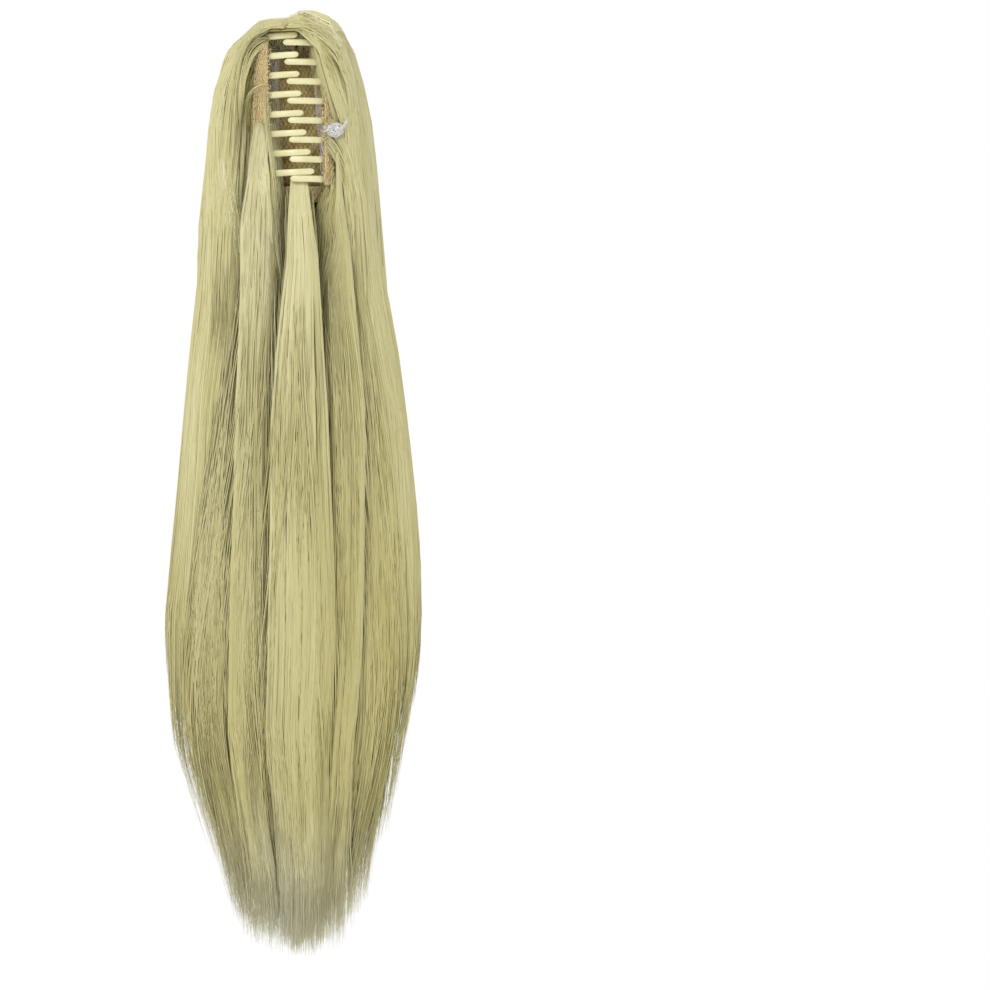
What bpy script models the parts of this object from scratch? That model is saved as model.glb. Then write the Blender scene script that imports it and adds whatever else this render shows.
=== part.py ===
import math

import bmesh
import bpy
import numpy as np
from mathutils import Matrix

# Overall sizes, in metres. +X is right and +Y away from the viewer in the view of the inside, +Z is up.
TOTAL_LENGTH = 0.600
CROWN_TOP = 0.063
HALF_WIDTH = 0.0850
CROWN_BACK = 0.060
CROWN_FRONT = 0.032
PIECE_GAP = 0.0004
MERGE_DISTANCE = 0.00005
LEVEL_SLACK = 0.0001
ROUND_SIDES = 24

# Hinge and clip ring
PIN_Y = 0.022
PIN_RADIUS = 0.0015
PIN_HALF_LENGTH = 0.0295
PIN_HEAD_RADIUS = 0.0026
PIN_HEAD_THICKNESS = 0.0018
BORE_RADIUS = 0.0016
KNUCKLE_RADIUS = 0.0038
KNUCKLE_HEIGHT = 0.0080
OUTER_KNUCKLE = 0.0250
INNER_KNUCKLE = 0.0164
SPRING_RADIUS = 0.0034
SPRING_BORE = 0.0019
SPRING_HALF_HEIGHT = 0.0118
RING_X = 0.024
RING_Y = 0.022
BORE_HALF_LENGTH = 0.040

# Jaw plates, rails, levers
PLATE_THICKNESS = 0.0024
PLATE_START = 13.5
PLATE_END = 57.0
PLATE_OVER = 0.0030
PLATE_STATIONS = 6
LEFT_PLATE_SHORT = 0.0012
RAIL_WIDTH = 0.0024
RAIL_DEPTH = 0.0026
RAIL_SINK = 0.0008
RAIL_SHORT = 0.0004
RAIL_X = 0.0150
LEFT_RAIL_LEAN = 0.010
RIGHT_RAIL_LEAN = -0.095
TAB_NEAR = 0.0022
TAB_FAR = 0.0072
TAB_FRONT = 0.0016
TAB_BACK = 0.0012
TAB_SHORT = 0.0003
LEVER_LENGTH = 0.022
LEVER_HEIGHT = 0.030
LEVER_THICKNESS = 0.0026
LEVER_ANGLE = 40.0
LEVER_START_X = 0.0066
LEVER_START_Y = 0.0205
LEVER_BEND = 0.0015
# Share of the lever's length, and its height and thickness there as shares of their own
LEVER_SECTIONS = [(0.0, 1.0, 1.0), (0.5, 0.94, 0.9), (0.88, 0.80, 0.75), (1.0, 0.62, 0.6)]

# Teeth
TOOTH_COUNT = 8
TOOTH_PITCH = 0.01225
TOP_TOOTH = 0.0462
RIGHT_DROP = 0.00465
TOOTH_START = 45.0
TOOTH_SIDES = 8
TOOTH_ROOT_HEIGHT = 0.0048
TOOTH_TIP_HEIGHT = 0.0036
TOOTH_ROOT_DEPTH = 0.0030
TOOTH_TIP_DEPTH = 0.0022
TOOTH_STATIONS = 11
TIP_STATION = 0.975
TIP_TALL = 0.45
TIP_DEEP = 0.55
LEFT_SLOPE = math.tan(math.radians(3.0))
RIGHT_SLOPE = math.tan(math.radians(0.4))
# How far each tip reaches past the middle, as a share of the ring's half width
LEFT_PAST = [0.04, 0.07, 0.09, 0.14, 0.20, 0.27, 0.38, 0.475]
RIGHT_PAST = [0.34, 0.305, 0.245, 0.235, 0.21, 0.19, 0.17, 0.15]

# Nets
NET_THICKNESS = 0.0012
NET_OFFSET = 0.0030
NET_START = 50.0
NET_END = 138.0
NET_TOP = 0.0415
NET_BOTTOM = -0.0480
BRIDGE_HALF = 0.0255
BRIDGE_TOP = -0.0483
BRIDGE_BOTTOM = -0.0580
BRIDGE_Y = 0.003
BRIDGE_BOW = 0.005

# Hollow in the crown, round the clip
POCKET_TOP = 0.0499
POCKET_BOTTOM = -0.0600
POCKET_X = 0.0305
POCKET_Y = 0.0280
CLIP_X = 0.0281
CLIP_Y = 0.0261
CLIP_CLEARANCE = 0.0004
THIN_WALL = 0.0030
DOME_RISE = 0.0128
POCKET_BACK = 0.031
CORE_TOP = 0.0075
CORE_TIP = 0.0018
TAIL_WALL = 0.0012
AXIS_CLEAR = 0.0015
DOME_CORE = 0.0040
DOME_PROUD = 0.0005
DOME_OVERLAP = 0.3
BRIM_INSET = 0.0016
BRIM_RISE = 0.0008
BACK_STEP = 0.0006
ROW_GAP = 0.0020
DOME_LEVELS = [0.0015, 0.0045, 0.0110, 0.0165]
DOME_LOCKS = [0.0, 0.17, 0.34, 0.52, 0.70, 0.86, 1.0]

# Angles round the hinge, in degrees from the back, clockwise seen from above
BACK_WEDGE = 21.5
PARTING = 192.0

# Share of the length from the top; left and right reach as shares of the half width;
# front and back reach as shares of the crown's own.
OUTLINE = [
    (0.0015, 0.00, 0.17, -0.40, 0.45),
    (0.0045, 0.09, 0.24, -0.10, 0.54),
    (0.0110, 0.27, 0.29, 0.36, 0.68),
    (0.0230, 0.395, 0.35, 0.80, 0.83),
    (0.0360, 0.485, 0.39, 0.87, 0.90),
    (0.0530, 0.55, 0.43, 0.91, 0.95),
    (0.0840, 0.61, 0.49, 0.97, 0.98),
    (0.1160, 0.647, 0.535, 1.00, 1.00),
    (0.1790, 0.70, 0.587, 0.88, 0.95),
    (0.2050, 0.715, 0.60, 0.76, 0.92),
    (0.2150, 0.725, 0.61, 0.72, 0.90),
    (0.2500, 0.75, 0.635, 0.58, 0.86),
    (0.3370, 0.81, 0.735, 0.38, 0.80),
    (0.4320, 0.855, 0.82, 0.25, 0.76),
    (0.5260, 0.92, 0.907, 0.12, 0.73),
    (0.6210, 1.010, 0.95, 0.06, 0.71),
    (0.6840, 1.005, 0.93, 0.03, 0.70),
    (0.7470, 0.975, 0.86, 0.00, 0.68),
    (0.7790, 0.936, 0.788, -0.02, 0.67),
    (0.8110, 0.84, 0.744, -0.05, 0.65),
    (0.8420, 0.75, 0.70, -0.08, 0.63),
    (0.8740, 0.676, 0.61, -0.12, 0.61),
    (0.9050, 0.545, 0.55, -0.18, 0.59),
    (0.9370, 0.505, 0.513, -0.25, 0.57),
    (0.9680, 0.356, 0.363, -0.36, 0.52),
    (0.9985, 0.075, 0.075, -0.53, 0.45),
]

# Levels at which the lock edges are set, as shares of the length, and the edge angles there
EDGE_SHARE = [0.022, 0.053, 0.079, 0.100, 0.121, 0.147, 0.179,
              0.205, 0.215, 0.250, 0.410, 0.621, 0.800, 1.000]
RIGHT_EDGE = [170, 163, 158, 151, 143, 142.3, 140.8, 139, 137, 130, 113, 111, 111, 113]
RIGHT_INNER_OUT = [144, 144, 144, 144, 144, 144, 142.2, 140.5, 138.5, 131.5, 116, 113.5, 113.5, 116]
RIGHT_INNER_IN = [148, 148, 148, 148, 148, 148, 149, 150, 148, 140, 128, 124, 124, 128]
CENTRE_RIGHT = [165, 165, 165, 165, 165, 165, 165, 165, 164, 159, 143, 127.5, 127.5, 131]
CENTRE_LEFT = [190, 190, 190, 190, 190, 190, 190, 190, 190, 189, 213, 222, 225, 225]
LEFT_INNER_IN = [197, 197, 197, 197, 197, 197, 197, 197, 199, 201, 219, 231, 231, 231]
LEFT_INNER_OUT = [220, 220, 220, 220, 220, 221, 224, 226, 226, 228, 240, 247, 247, 247]
LEFT_EDGE = [215, 227, 235, 238, 238, 236, 233, 230.5, 229.5, 232, 245, 250, 250, 250]

# Lock boundaries inside a crown half, in the crown and in the tail, as shares of the half's own angle
CROWN_LOCKS = [0.0, 0.25, 0.49, 0.76, 1.0]
TAIL_LOCKS = [0.0, 0.22, 0.45, 0.68, 1.0]
CROWN_GROOVE = 0.06
TAIL_GROOVE = 0.14
TAIL_FROM = 0.13
TAIL_FULL = 0.38

# Roots of the front locks. Each row is the share of the length, the first and last angle, and the inner
# face's distance out from the clip and the thickness, both as shares of ROOT_THICKNESS.
ROOT_THICKNESS = 0.0060
ROOT_ROUND = 0.0012
ROOT_END = 0.2140
LEFT_ROOT = [(0.080, 206.0, 214.0, 0.0, 0.53), (0.122, 204.0, 218.0, 0.0, 0.75),
             (0.172, 197.0, 222.0, 0.10, 0.92), (0.187, 197.0, 224.0, 0.03, 1.0),
             (0.198, 197.0, 225.0, -0.67, 1.58)]
CENTRE_ROOT = [(0.187, 165.0, 190.0, -2.67, 1.25), (0.198, 165.0, 190.0, -3.33, 2.33)]
RIGHT_ROOT = [(0.157, 143.6, 149.0, 0.0, 0.63), (0.187, 142.0, 149.5, 0.03, 0.87),
              (0.198, 141.4, 150.0, -0.67, 1.58)]

# Thread knot
KNOT_X = 0.0246
KNOT_Y = -0.0195
KNOT_Z = -0.0136
KNOT_HALF_SIZE = (0.0046, 0.0024, 0.0040)


def clear_scene():
    for old in list(bpy.data.objects):
        bpy.data.objects.remove(old, do_unlink=True)


def material(name, colour, roughness):
    made = bpy.data.materials.new(name)
    made.use_nodes = True
    shader = made.node_tree.nodes["Principled BSDF"]
    shader.inputs["Base Color"].default_value = (*colour, 1.0)
    shader.inputs["Roughness"].default_value = roughness
    return made


def object_of(name, points, faces, look=None):
    mesh = bpy.data.meshes.new(name)
    mesh.from_pydata([tuple(map(float, p)) for p in points], [], faces)
    work = bmesh.new()
    work.from_mesh(mesh)
    bmesh.ops.recalc_face_normals(work, faces=work.faces[:])
    if work.calc_volume(signed=True) < 0:
        bmesh.ops.reverse_faces(work, faces=work.faces[:])
    work.to_mesh(mesh)
    work.free()
    made = bpy.data.objects.new(name, mesh)
    bpy.context.scene.collection.objects.link(made)
    if look:
        mesh.materials.append(look)
    return made


def helper(made):
    made.hide_render = True
    made.display_type = "WIRE"
    return made


def union(base, others):
    for other in others:
        helper(other)
        step = base.modifiers.new("join " + other.name, "BOOLEAN")
        step.operation = "UNION"
        step.solver = "EXACT"
        step.object = other
    return base


def cut(base, cutter):
    helper(cutter)
    step = base.modifiers.new("cut " + cutter.name, "BOOLEAN")
    step.operation = "DIFFERENCE"
    step.solver = "EXACT"
    step.object = cutter
    return base


# Joins rings of equally many points, and closes both ends.
def loft(name, rings, look=None):
    count = len(rings[0])
    points = [p for ring in rings for p in ring]
    faces = []
    for k in range(len(rings) - 1):
        for i in range(count):
            j = (i + 1) % count
            faces.append((k * count + i, k * count + j, (k + 1) * count + j, (k + 1) * count + i))
    faces.append(tuple(range(count)))
    faces.append(tuple((len(rings) - 1) * count + i for i in range(count)))
    return object_of(name, points, faces, look)


def ring_frame(angle):
    """Point and outward direction on the clip's ring, at an angle in degrees from the back."""
    turn = math.radians(angle)
    point = np.array([RING_X * math.sin(turn), RING_Y * math.cos(turn)])
    out = np.array([math.sin(turn) / RING_X, math.cos(turn) / RING_Y])
    return point, out / np.linalg.norm(out)


def tooth_heights(side):
    drop = 0 if side < 0 else RIGHT_DROP
    return [TOP_TOOTH - drop - TOOTH_PITCH * k for k in range(TOOTH_COUNT)]


def tooth(name, side, height, past):
    """One curved tooth, from its plate round the side to its tip past the centre."""
    end = 180 + math.degrees(math.asin(past))
    slope = LEFT_SLOPE if side < 0 else -RIGHT_SLOPE
    tip_x = -side * past * RING_X
    corner_share = math.cos(math.pi / TOOTH_SIDES)
    rings = []
    for k in range(TOOTH_STATIONS):
        share = k / (TOOTH_STATIONS - 1)
        if k == TOOTH_STATIONS - 2:
            share = TIP_STATION
        centre, out = ring_frame(TOOTH_START + (end - TOOTH_START) * share)
        tall = TOOTH_ROOT_HEIGHT + (TOOTH_TIP_HEIGHT - TOOTH_ROOT_HEIGHT) * share
        deep = TOOTH_ROOT_DEPTH + (TOOTH_TIP_DEPTH - TOOTH_ROOT_DEPTH) * share
        if k == TOOTH_STATIONS - 1:
            tall, deep = tall * TIP_TALL, deep * TIP_DEEP
        ring = []
        for corner in range(TOOTH_SIDES):
            turn = 2 * math.pi * (corner + 0.5) / TOOTH_SIDES
            across = 0.5 * deep * math.cos(turn) / corner_share
            up = 0.5 * tall * math.sin(turn) / corner_share
            spot = centre + out * across
            x = side * spot[0]
            ring.append((x, spot[1], height + slope * (x - tip_x) + up))
        rings.append(ring)
    return loft(name, rings)


def plate(name, side, top, bottom):
    rings = []
    for k in range(PLATE_STATIONS):
        angle = PLATE_START + (PLATE_END - PLATE_START) * k / (PLATE_STATIONS - 1)
        centre, out = ring_frame(angle)
        a = centre + out * PLATE_THICKNESS / 2
        b = centre - out * PLATE_THICKNESS / 2
        rings.append([(side * a[0], a[1], top), (side * b[0], b[1], top),
                      (side * b[0], b[1], bottom), (side * a[0], a[1], bottom)])
    return loft(name, rings)


def rail(name, side, top, bottom):
    """Strip on the plate's inner face that the net is sewn to. The right one leans as in the photograph."""
    lean = LEFT_RAIL_LEAN if side < 0 else RIGHT_RAIL_LEAN
    rings = []
    for z in (bottom, (bottom + top) / 2, top):
        angle = math.degrees(math.asin((RAIL_X + lean * z) / RING_X))
        centre, out = ring_frame(angle)
        along = np.array([out[1], -out[0]])
        near = centre - out * (PLATE_THICKNESS / 2 - RAIL_SINK)
        far = near - out * RAIL_DEPTH
        corners = [near - along * RAIL_WIDTH / 2, near + along * RAIL_WIDTH / 2,
                   far + along * RAIL_WIDTH / 2, far - along * RAIL_WIDTH / 2]
        rings.append([(side * c[0], c[1], z) for c in corners])
    return loft(name, rings)


def lever(name, side):
    turn = math.radians(LEVER_ANGLE)
    along = np.array([math.sin(turn), math.cos(turn)])
    across = np.array([along[1], -along[0]])
    rings = []
    for share, tall, thick in LEVER_SECTIONS:
        middle = np.array([LEVER_START_X, LEVER_START_Y]) + along * LEVER_LENGTH * share
        middle = middle + across * LEVER_BEND * share * share
        half = across * LEVER_THICKNESS * thick / 2
        z = LEVER_HEIGHT * tall / 2
        rings.append([(side * (middle + half)[0], (middle + half)[1], z),
                      (side * (middle - half)[0], (middle - half)[1], z),
                      (side * (middle - half)[0], (middle - half)[1], -z),
                      (side * (middle + half)[0], (middle + half)[1], -z)])
    return loft(name, rings)


def cylinder(name, radius, low, high):
    mesh = bpy.data.meshes.new(name)
    work = bmesh.new()
    bmesh.ops.create_cone(work, cap_ends=True, segments=ROUND_SIDES, radius1=radius, radius2=radius,
                          depth=high - low)
    bmesh.ops.translate(work, verts=work.verts[:], vec=(0, PIN_Y, (low + high) / 2))
    work.to_mesh(mesh)
    work.free()
    made = bpy.data.objects.new(name, mesh)
    bpy.context.scene.collection.objects.link(made)
    return made


def block(name, low, high):
    mesh = bpy.data.meshes.new(name)
    work = bmesh.new()
    bmesh.ops.create_cube(work, size=1.0)
    bmesh.ops.scale(work, verts=work.verts[:], vec=[b - a for a, b in zip(low, high)])
    bmesh.ops.translate(work, verts=work.verts[:], vec=[(a + b) / 2 for a, b in zip(low, high)])
    work.to_mesh(mesh)
    work.free()
    made = bpy.data.objects.new(name, mesh)
    bpy.context.scene.collection.objects.link(made)
    return made


def jaw(name, side, look):
    heights = tooth_heights(side)
    past = LEFT_PAST if side < 0 else RIGHT_PAST
    top = heights[0] + PLATE_OVER - (LEFT_PLATE_SHORT if side < 0 else 0)
    bottom = heights[-1] - PLATE_OVER - (LEFT_PLATE_SHORT if side < 0 else 0)
    body = plate(name, side, top, bottom)
    body.data.materials.append(look)
    joined = [rail(name + " rail", side, top - RAIL_SHORT, bottom + RAIL_SHORT)]
    joined.append(lever(name + " lever", side))
    for k, height in enumerate(heights):
        joined.append(tooth(f"{name} tooth {k + 1}", side, height, past[k]))
    middle = OUTER_KNUCKLE if side < 0 else INNER_KNUCKLE
    for level, place in [(middle, "upper"), (-middle, "lower")]:
        low, high = level - KNUCKLE_HEIGHT / 2, level + KNUCKLE_HEIGHT / 2
        joined.append(cylinder(f"{name} {place} knuckle", KNUCKLE_RADIUS, low, high))
        tab = sorted([side * TAB_NEAR, side * TAB_FAR])
        joined.append(block(f"{name} {place} tab", (tab[0], PIN_Y - TAB_FRONT, low + TAB_SHORT),
                            (tab[1], PIN_Y + TAB_BACK, high - TAB_SHORT)))
    union(body, joined)
    return cut(body, cylinder(name + " bore", BORE_RADIUS, -BORE_HALF_LENGTH, BORE_HALF_LENGTH))


def spun(name, profile, look):
    """A closed profile of radius and height turned round the pin's axis."""
    points = [(r, 0, z) for r, z in profile]
    mesh = bpy.data.meshes.new(name)
    mesh.from_pydata(points, [(k, (k + 1) % len(points)) for k in range(len(points))], [])
    made = bpy.data.objects.new(name, mesh)
    bpy.context.scene.collection.objects.link(made)
    made.location = (0, PIN_Y, 0)
    turn = made.modifiers.new("turn", "SCREW")
    turn.angle = 2 * math.pi
    turn.steps = turn.render_steps = ROUND_SIDES
    turn.use_merge_vertices = True
    turn.merge_threshold = MERGE_DISTANCE
    turn.use_normal_flip = True
    mesh.materials.append(look)
    return made


# A net's thin sheet from rows of points.
def sheet(name, points, columns, rows, look):
    faces = []
    for j in range(rows - 1):
        for i in range(columns - 1):
            a = j * columns + i
            faces.append((a, a + 1, a + columns + 1, a + columns))
    made = object_of(name, points, faces, look)
    shell = made.modifiers.new("thickness", "SOLIDIFY")
    shell.thickness = NET_THICKNESS
    shell.offset = 0
    return made


def net(name, side, look):
    columns, rows = 11, 5
    points = []
    for j in range(rows):
        z = NET_BOTTOM + (NET_TOP - NET_BOTTOM) * j / (rows - 1)
        for i in range(columns):
            centre, out = ring_frame(NET_START + (NET_END - NET_START) * i / (columns - 1))
            spot = centre + out * NET_OFFSET
            points.append((side * spot[0], spot[1], z))
    return sheet(name, points, columns, rows, look)


def bridge(name, look):
    columns, rows = 7, 3
    points = []
    for j in range(rows):
        z = BRIDGE_BOTTOM + (BRIDGE_TOP - BRIDGE_BOTTOM) * j / (rows - 1)
        for i in range(columns):
            share = 2 * i / (columns - 1) - 1
            points.append((BRIDGE_HALF * share, BRIDGE_Y + BRIDGE_BOW * share * share, z))
    return sheet(name, points, columns, rows, look)


def share_of(z):
    return (CROWN_TOP - z) / TOTAL_LENGTH


def level_of(share):
    return CROWN_TOP - TOTAL_LENGTH * share


def outer_reach(angle, z):
    """Distance from the hinge axis to the hair's outer surface."""
    s = share_of(z)
    shares = [row[0] for row in OUTLINE]
    left, right, front, back = (np.interp(s, shares, [row[k] for row in OUTLINE]) for k in (1, 2, 3, 4))
    left, right = -left * HALF_WIDTH, right * HALF_WIDTH
    front, back = -front * CROWN_FRONT, back * CROWN_BACK
    cx, a = (left + right) / 2, (right - left) / 2
    cy, b = (front + back) / 2, (back - front) / 2
    turn = math.radians(angle)
    return ray_out(0, PIN_Y, math.sin(turn), math.cos(turn), cx, cy, a, b)


def ray_out(x, y, dx, dy, cx, cy, a, b):
    p = (dx / a) ** 2 + (dy / b) ** 2
    q = 2 * ((x - cx) * dx / a**2 + (y - cy) * dy / b**2)
    r = ((x - cx) / a) ** 2 + ((y - cy) / b) ** 2 - 1
    return (-q + math.sqrt(max(q * q - 4 * p * r, 0))) / (2 * p)


def ring_reach(angle, half_x, half_y):
    turn = math.radians(angle)
    return ray_out(0, PIN_Y, math.sin(turn), math.cos(turn), 0, 0, half_x, half_y)


def clip_reach(angle):
    """Distance from the hinge axis to just outside the net."""
    return ring_reach(angle, CLIP_X, CLIP_Y) + CLIP_CLEARANCE


def pocket_reach(angle, z, u):
    """Inner face of the crown. The wall keeps its least thickness where the crown draws in."""
    widest = max(ring_reach(angle, POCKET_X, POCKET_Y), POCKET_BACK)
    return max(clip_reach(angle), min(widest, lump_outer(angle, z, u) - THIN_WALL))


def core_reach(z):
    return np.interp(share_of(z), [0.2, 0.7, 1.0], [CORE_TOP, 0.6 * CORE_TOP, CORE_TIP])


def edge(table, z):
    return float(np.interp(share_of(z), EDGE_SHARE, table))


# A body between two radial planes round the hinge. Each row is (height, first angle, last angle,
# inner reach by angle, outer reach by angle), from the top down.
def wedge(name, rows, shares, look=None):
    points, faces = [], []
    count = len(shares(rows[0][0]))
    for z, first, last, inner, outer in rows:
        for reach in (outer, inner):
            for s, u in shares(z):
                angle = first + (last - first) * s
                turn = math.radians(angle)
                far = reach(angle, z, u)
                inset = PIECE_GAP * (1 - 2 * s)
                x = math.sin(turn) * far + math.cos(turn) * inset
                y = math.cos(turn) * far - math.sin(turn) * inset
                points.append((x, PIN_Y + y, z))
    step = 2 * count
    for k in range(len(rows) - 1):
        a = k * step
        for i in range(count - 1):
            faces.append((a + i, a + i + 1, a + step + i + 1, a + step + i))
            b = a + count
            faces.append((b + i, b + i + 1, b + step + i + 1, b + step + i))
        for i in (0, count - 1):
            faces.append((a + i, a + count + i, a + step + count + i, a + step + i))
    for a in (0, (len(rows) - 1) * step):
        for i in range(count - 1):
            faces.append((a + i, a + i + 1, a + count + i + 1, a + count + i))
    return object_of(name, points, faces, look)


def lumps(bounds, parts=4):
    """Shares across the body, each with its distance from the middle of its lock, 0 to 1."""
    found = []
    for low, high in zip(bounds[:-1], bounds[1:]):
        for k in range(parts):
            u = k / parts
            found.append((low + (high - low) * u, abs(2 * u - 1)))
    found.append((bounds[-1], 1.0))
    return found


def tail_share(z):
    return float(np.clip((share_of(z) - TAIL_FROM) / (TAIL_FULL - TAIL_FROM), 0, 1))


def lump_outer(angle, z, u):
    groove = CROWN_GROOVE + (TAIL_GROOVE - CROWN_GROOVE) * tail_share(z)
    if z > POCKET_TOP + LEVEL_SLACK:
        rise = min((z - POCKET_TOP) / DOME_RISE, 1)
        least = max(DOME_CORE, (clip_reach(angle) + THIN_WALL) * (1 - rise * rise) ** 0.75)
    elif z > POCKET_BOTTOM - LEVEL_SLACK:
        least = clip_reach(angle) + THIN_WALL
    else:
        least = core_reach(z) + TAIL_WALL
    return max(outer_reach(angle, z) * (1 - groove * u**3), least)


# The left half runs from its front edge to the back, so its locks are turned round.
def half_shares(z, side):
    mix = tail_share(z)
    bounds = [a + (b - a) * mix for a, b in zip(CROWN_LOCKS, TAIL_LOCKS)]
    return lumps(bounds if side > 0 else [1 - b for b in reversed(bounds)])


def half(name, side, look):
    """A crown half hollow round the clip, with its tail, joined to its half of the dome."""
    def core_inner(angle, z, u):
        return core_reach(z)

    def top_inner(angle, z, u):
        return pocket_reach(angle, POCKET_TOP, u)

    def top_outer(angle, z, u):
        return lump_outer(angle, POCKET_TOP, u) - BRIM_INSET

    table = RIGHT_EDGE if side > 0 else LEFT_EDGE
    first = BACK_WEDGE if side > 0 else -BACK_WEDGE

    def last(z):
        return edge(table, z) if side > 0 else edge(table, z) - 360

    rows = [(POCKET_TOP + BRIM_RISE, first, last(POCKET_TOP), top_inner, top_outer)]
    rows.append((POCKET_TOP, first, last(POCKET_TOP), pocket_reach, lump_outer))
    for row in OUTLINE:
        z = level_of(row[0])
        if z < POCKET_TOP - ROW_GAP:
            hollow = z > POCKET_BOTTOM - LEVEL_SLACK
            rows.append((z, first, last(z), pocket_reach if hollow else core_inner, lump_outer))
    body = wedge(name, mirrored(rows, side), lambda z: half_shares(z, side), look)

    def dome_outer(angle, z, u):
        return lump_outer(angle, z, u) + DOME_PROUD

    def dome_inner(angle, z, u):
        return AXIS_CLEAR

    start = first + side * DOME_OVERLAP
    end = PARTING if side > 0 else PARTING - 360
    dome_rows = [(level_of(s), start, end, dome_inner, dome_outer) for s in DOME_LEVELS]
    dome_rows.append((POCKET_TOP, start, end, dome_inner, dome_outer))
    dome = wedge(name + " dome", mirrored(dome_rows, side), lambda z: lumps(DOME_LOCKS, 3), None)
    return union(body, [dome])


# Bodies on the left run from the larger angle to the smaller, so their rows are turned round.
def mirrored(rows, side):
    if side > 0:
        return rows
    return [(z, last, first, inner, outer) for z, first, last, inner, outer in rows]


def back_hair(name, look):
    def inner(angle, z, u):
        if z > POCKET_TOP:
            return AXIS_CLEAR
        return pocket_reach(angle, z, u) if z > POCKET_BOTTOM - LEVEL_SLACK else core_reach(z)

    levels = [level_of(row[0]) for row in OUTLINE]
    above = [z for z in levels if z > POCKET_TOP] + [POCKET_TOP + BACK_STEP]
    below = [POCKET_TOP - BACK_STEP] + [z for z in levels if z < POCKET_TOP - ROW_GAP]
    rows = [(z, -BACK_WEDGE, BACK_WEDGE, inner, lump_outer) for z in above + below]
    return wedge(name, rows, lambda z: lumps([0.0, 0.5, 1.0], 4), look)


def inner_lock(name, root, edges, look):
    """A front lock: its root on the net or the bridge, then its share of the tail."""
    first, last = edges
    rows = []
    for share, low, high, out, thick in root:
        near, far = out * ROOT_THICKNESS, (out + thick) * ROOT_THICKNESS
        rows.append((level_of(share), low, high, lambda a, z, u, near=near: clip_reach(a) + near,
                     lambda a, z, u, far=far: clip_reach(a) + far - ROOT_ROUND * u * u))

    def tail_inner(angle, z, u):
        return core_reach(z)

    for row in OUTLINE:
        if row[0] > ROOT_END:
            z = level_of(row[0])
            rows.append((z, edge(first, z), edge(last, z), tail_inner, lump_outer))
    return wedge(name, rows, lambda z: lumps([0.0, 1.0], 6), look)


def knot(name, look):
    mesh = bpy.data.meshes.new(name)
    work = bmesh.new()
    bmesh.ops.create_uvsphere(work, u_segments=12, v_segments=8, radius=1.0)
    bmesh.ops.scale(work, verts=work.verts[:], vec=KNOT_HALF_SIZE)
    bmesh.ops.translate(work, verts=work.verts[:], vec=(KNOT_X, KNOT_Y, KNOT_Z))
    work.to_mesh(mesh)
    work.free()
    made = bpy.data.objects.new(name, mesh)
    bpy.context.scene.collection.objects.link(made)
    mesh.materials.append(look)
    return made


# The right half swings, so its pieces hang from an empty on the hinge axis.
def hang_on_hinge(pieces):
    pivot = bpy.data.objects.new("right_half_pivot", None)
    pivot.location = (0, PIN_Y, 0)
    bpy.context.scene.collection.objects.link(pivot)
    for piece in pieces:
        piece.parent = pivot
        piece.matrix_parent_inverse = Matrix.Translation(pivot.location).inverted()


clear_scene()
plastic = material("cream moulded plastic", (0.79, 0.77, 0.50), 0.4)
steel = material("steel wire", (0.55, 0.55, 0.55), 0.3)
netting = material("tan looped net", (0.72, 0.50, 0.28), 0.9)
fibre = material("pale blonde fibre", (0.62, 0.58, 0.32), 0.6)
thread = material("white thread", (0.80, 0.76, 0.74), 0.8)

head = PIN_HALF_LENGTH + PIN_HEAD_THICKNESS
spun("hinge_pin", [(0, -head), (PIN_HEAD_RADIUS, -head), (PIN_HEAD_RADIUS, -PIN_HALF_LENGTH),
                   (PIN_RADIUS, -PIN_HALF_LENGTH), (PIN_RADIUS, PIN_HALF_LENGTH),
                   (PIN_HEAD_RADIUS, PIN_HALF_LENGTH), (PIN_HEAD_RADIUS, head), (0, head)], steel)
spun("hinge_spring", [(SPRING_BORE, -SPRING_HALF_HEIGHT), (SPRING_RADIUS, -SPRING_HALF_HEIGHT),
                      (SPRING_RADIUS, SPRING_HALF_HEIGHT), (SPRING_BORE, SPRING_HALF_HEIGHT)], steel)

jaw("left_jaw", -1, plastic)
net("left_net", -1, netting)
bridge("net_bridge", netting)
half("left_hair", -1, fibre)
back_hair("back_hair", fibre)
inner_lock("left_inner_lock", LEFT_ROOT, (LEFT_INNER_IN, LEFT_INNER_OUT), fibre)
inner_lock("centre_lock", CENTRE_ROOT, (CENTRE_RIGHT, CENTRE_LEFT), fibre)

hang_on_hinge([
    jaw("right_jaw", 1, plastic),
    net("right_net", 1, netting),
    half("right_hair", 1, fibre),
    inner_lock("right_inner_lock", RIGHT_ROOT, (RIGHT_INNER_OUT, RIGHT_INNER_IN), fibre),
    knot("thread_knot", thread),
])
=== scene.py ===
import math

import bpy
import numpy as np
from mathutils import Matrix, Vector
from mathutils.bvhtree import BVHTree


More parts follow.
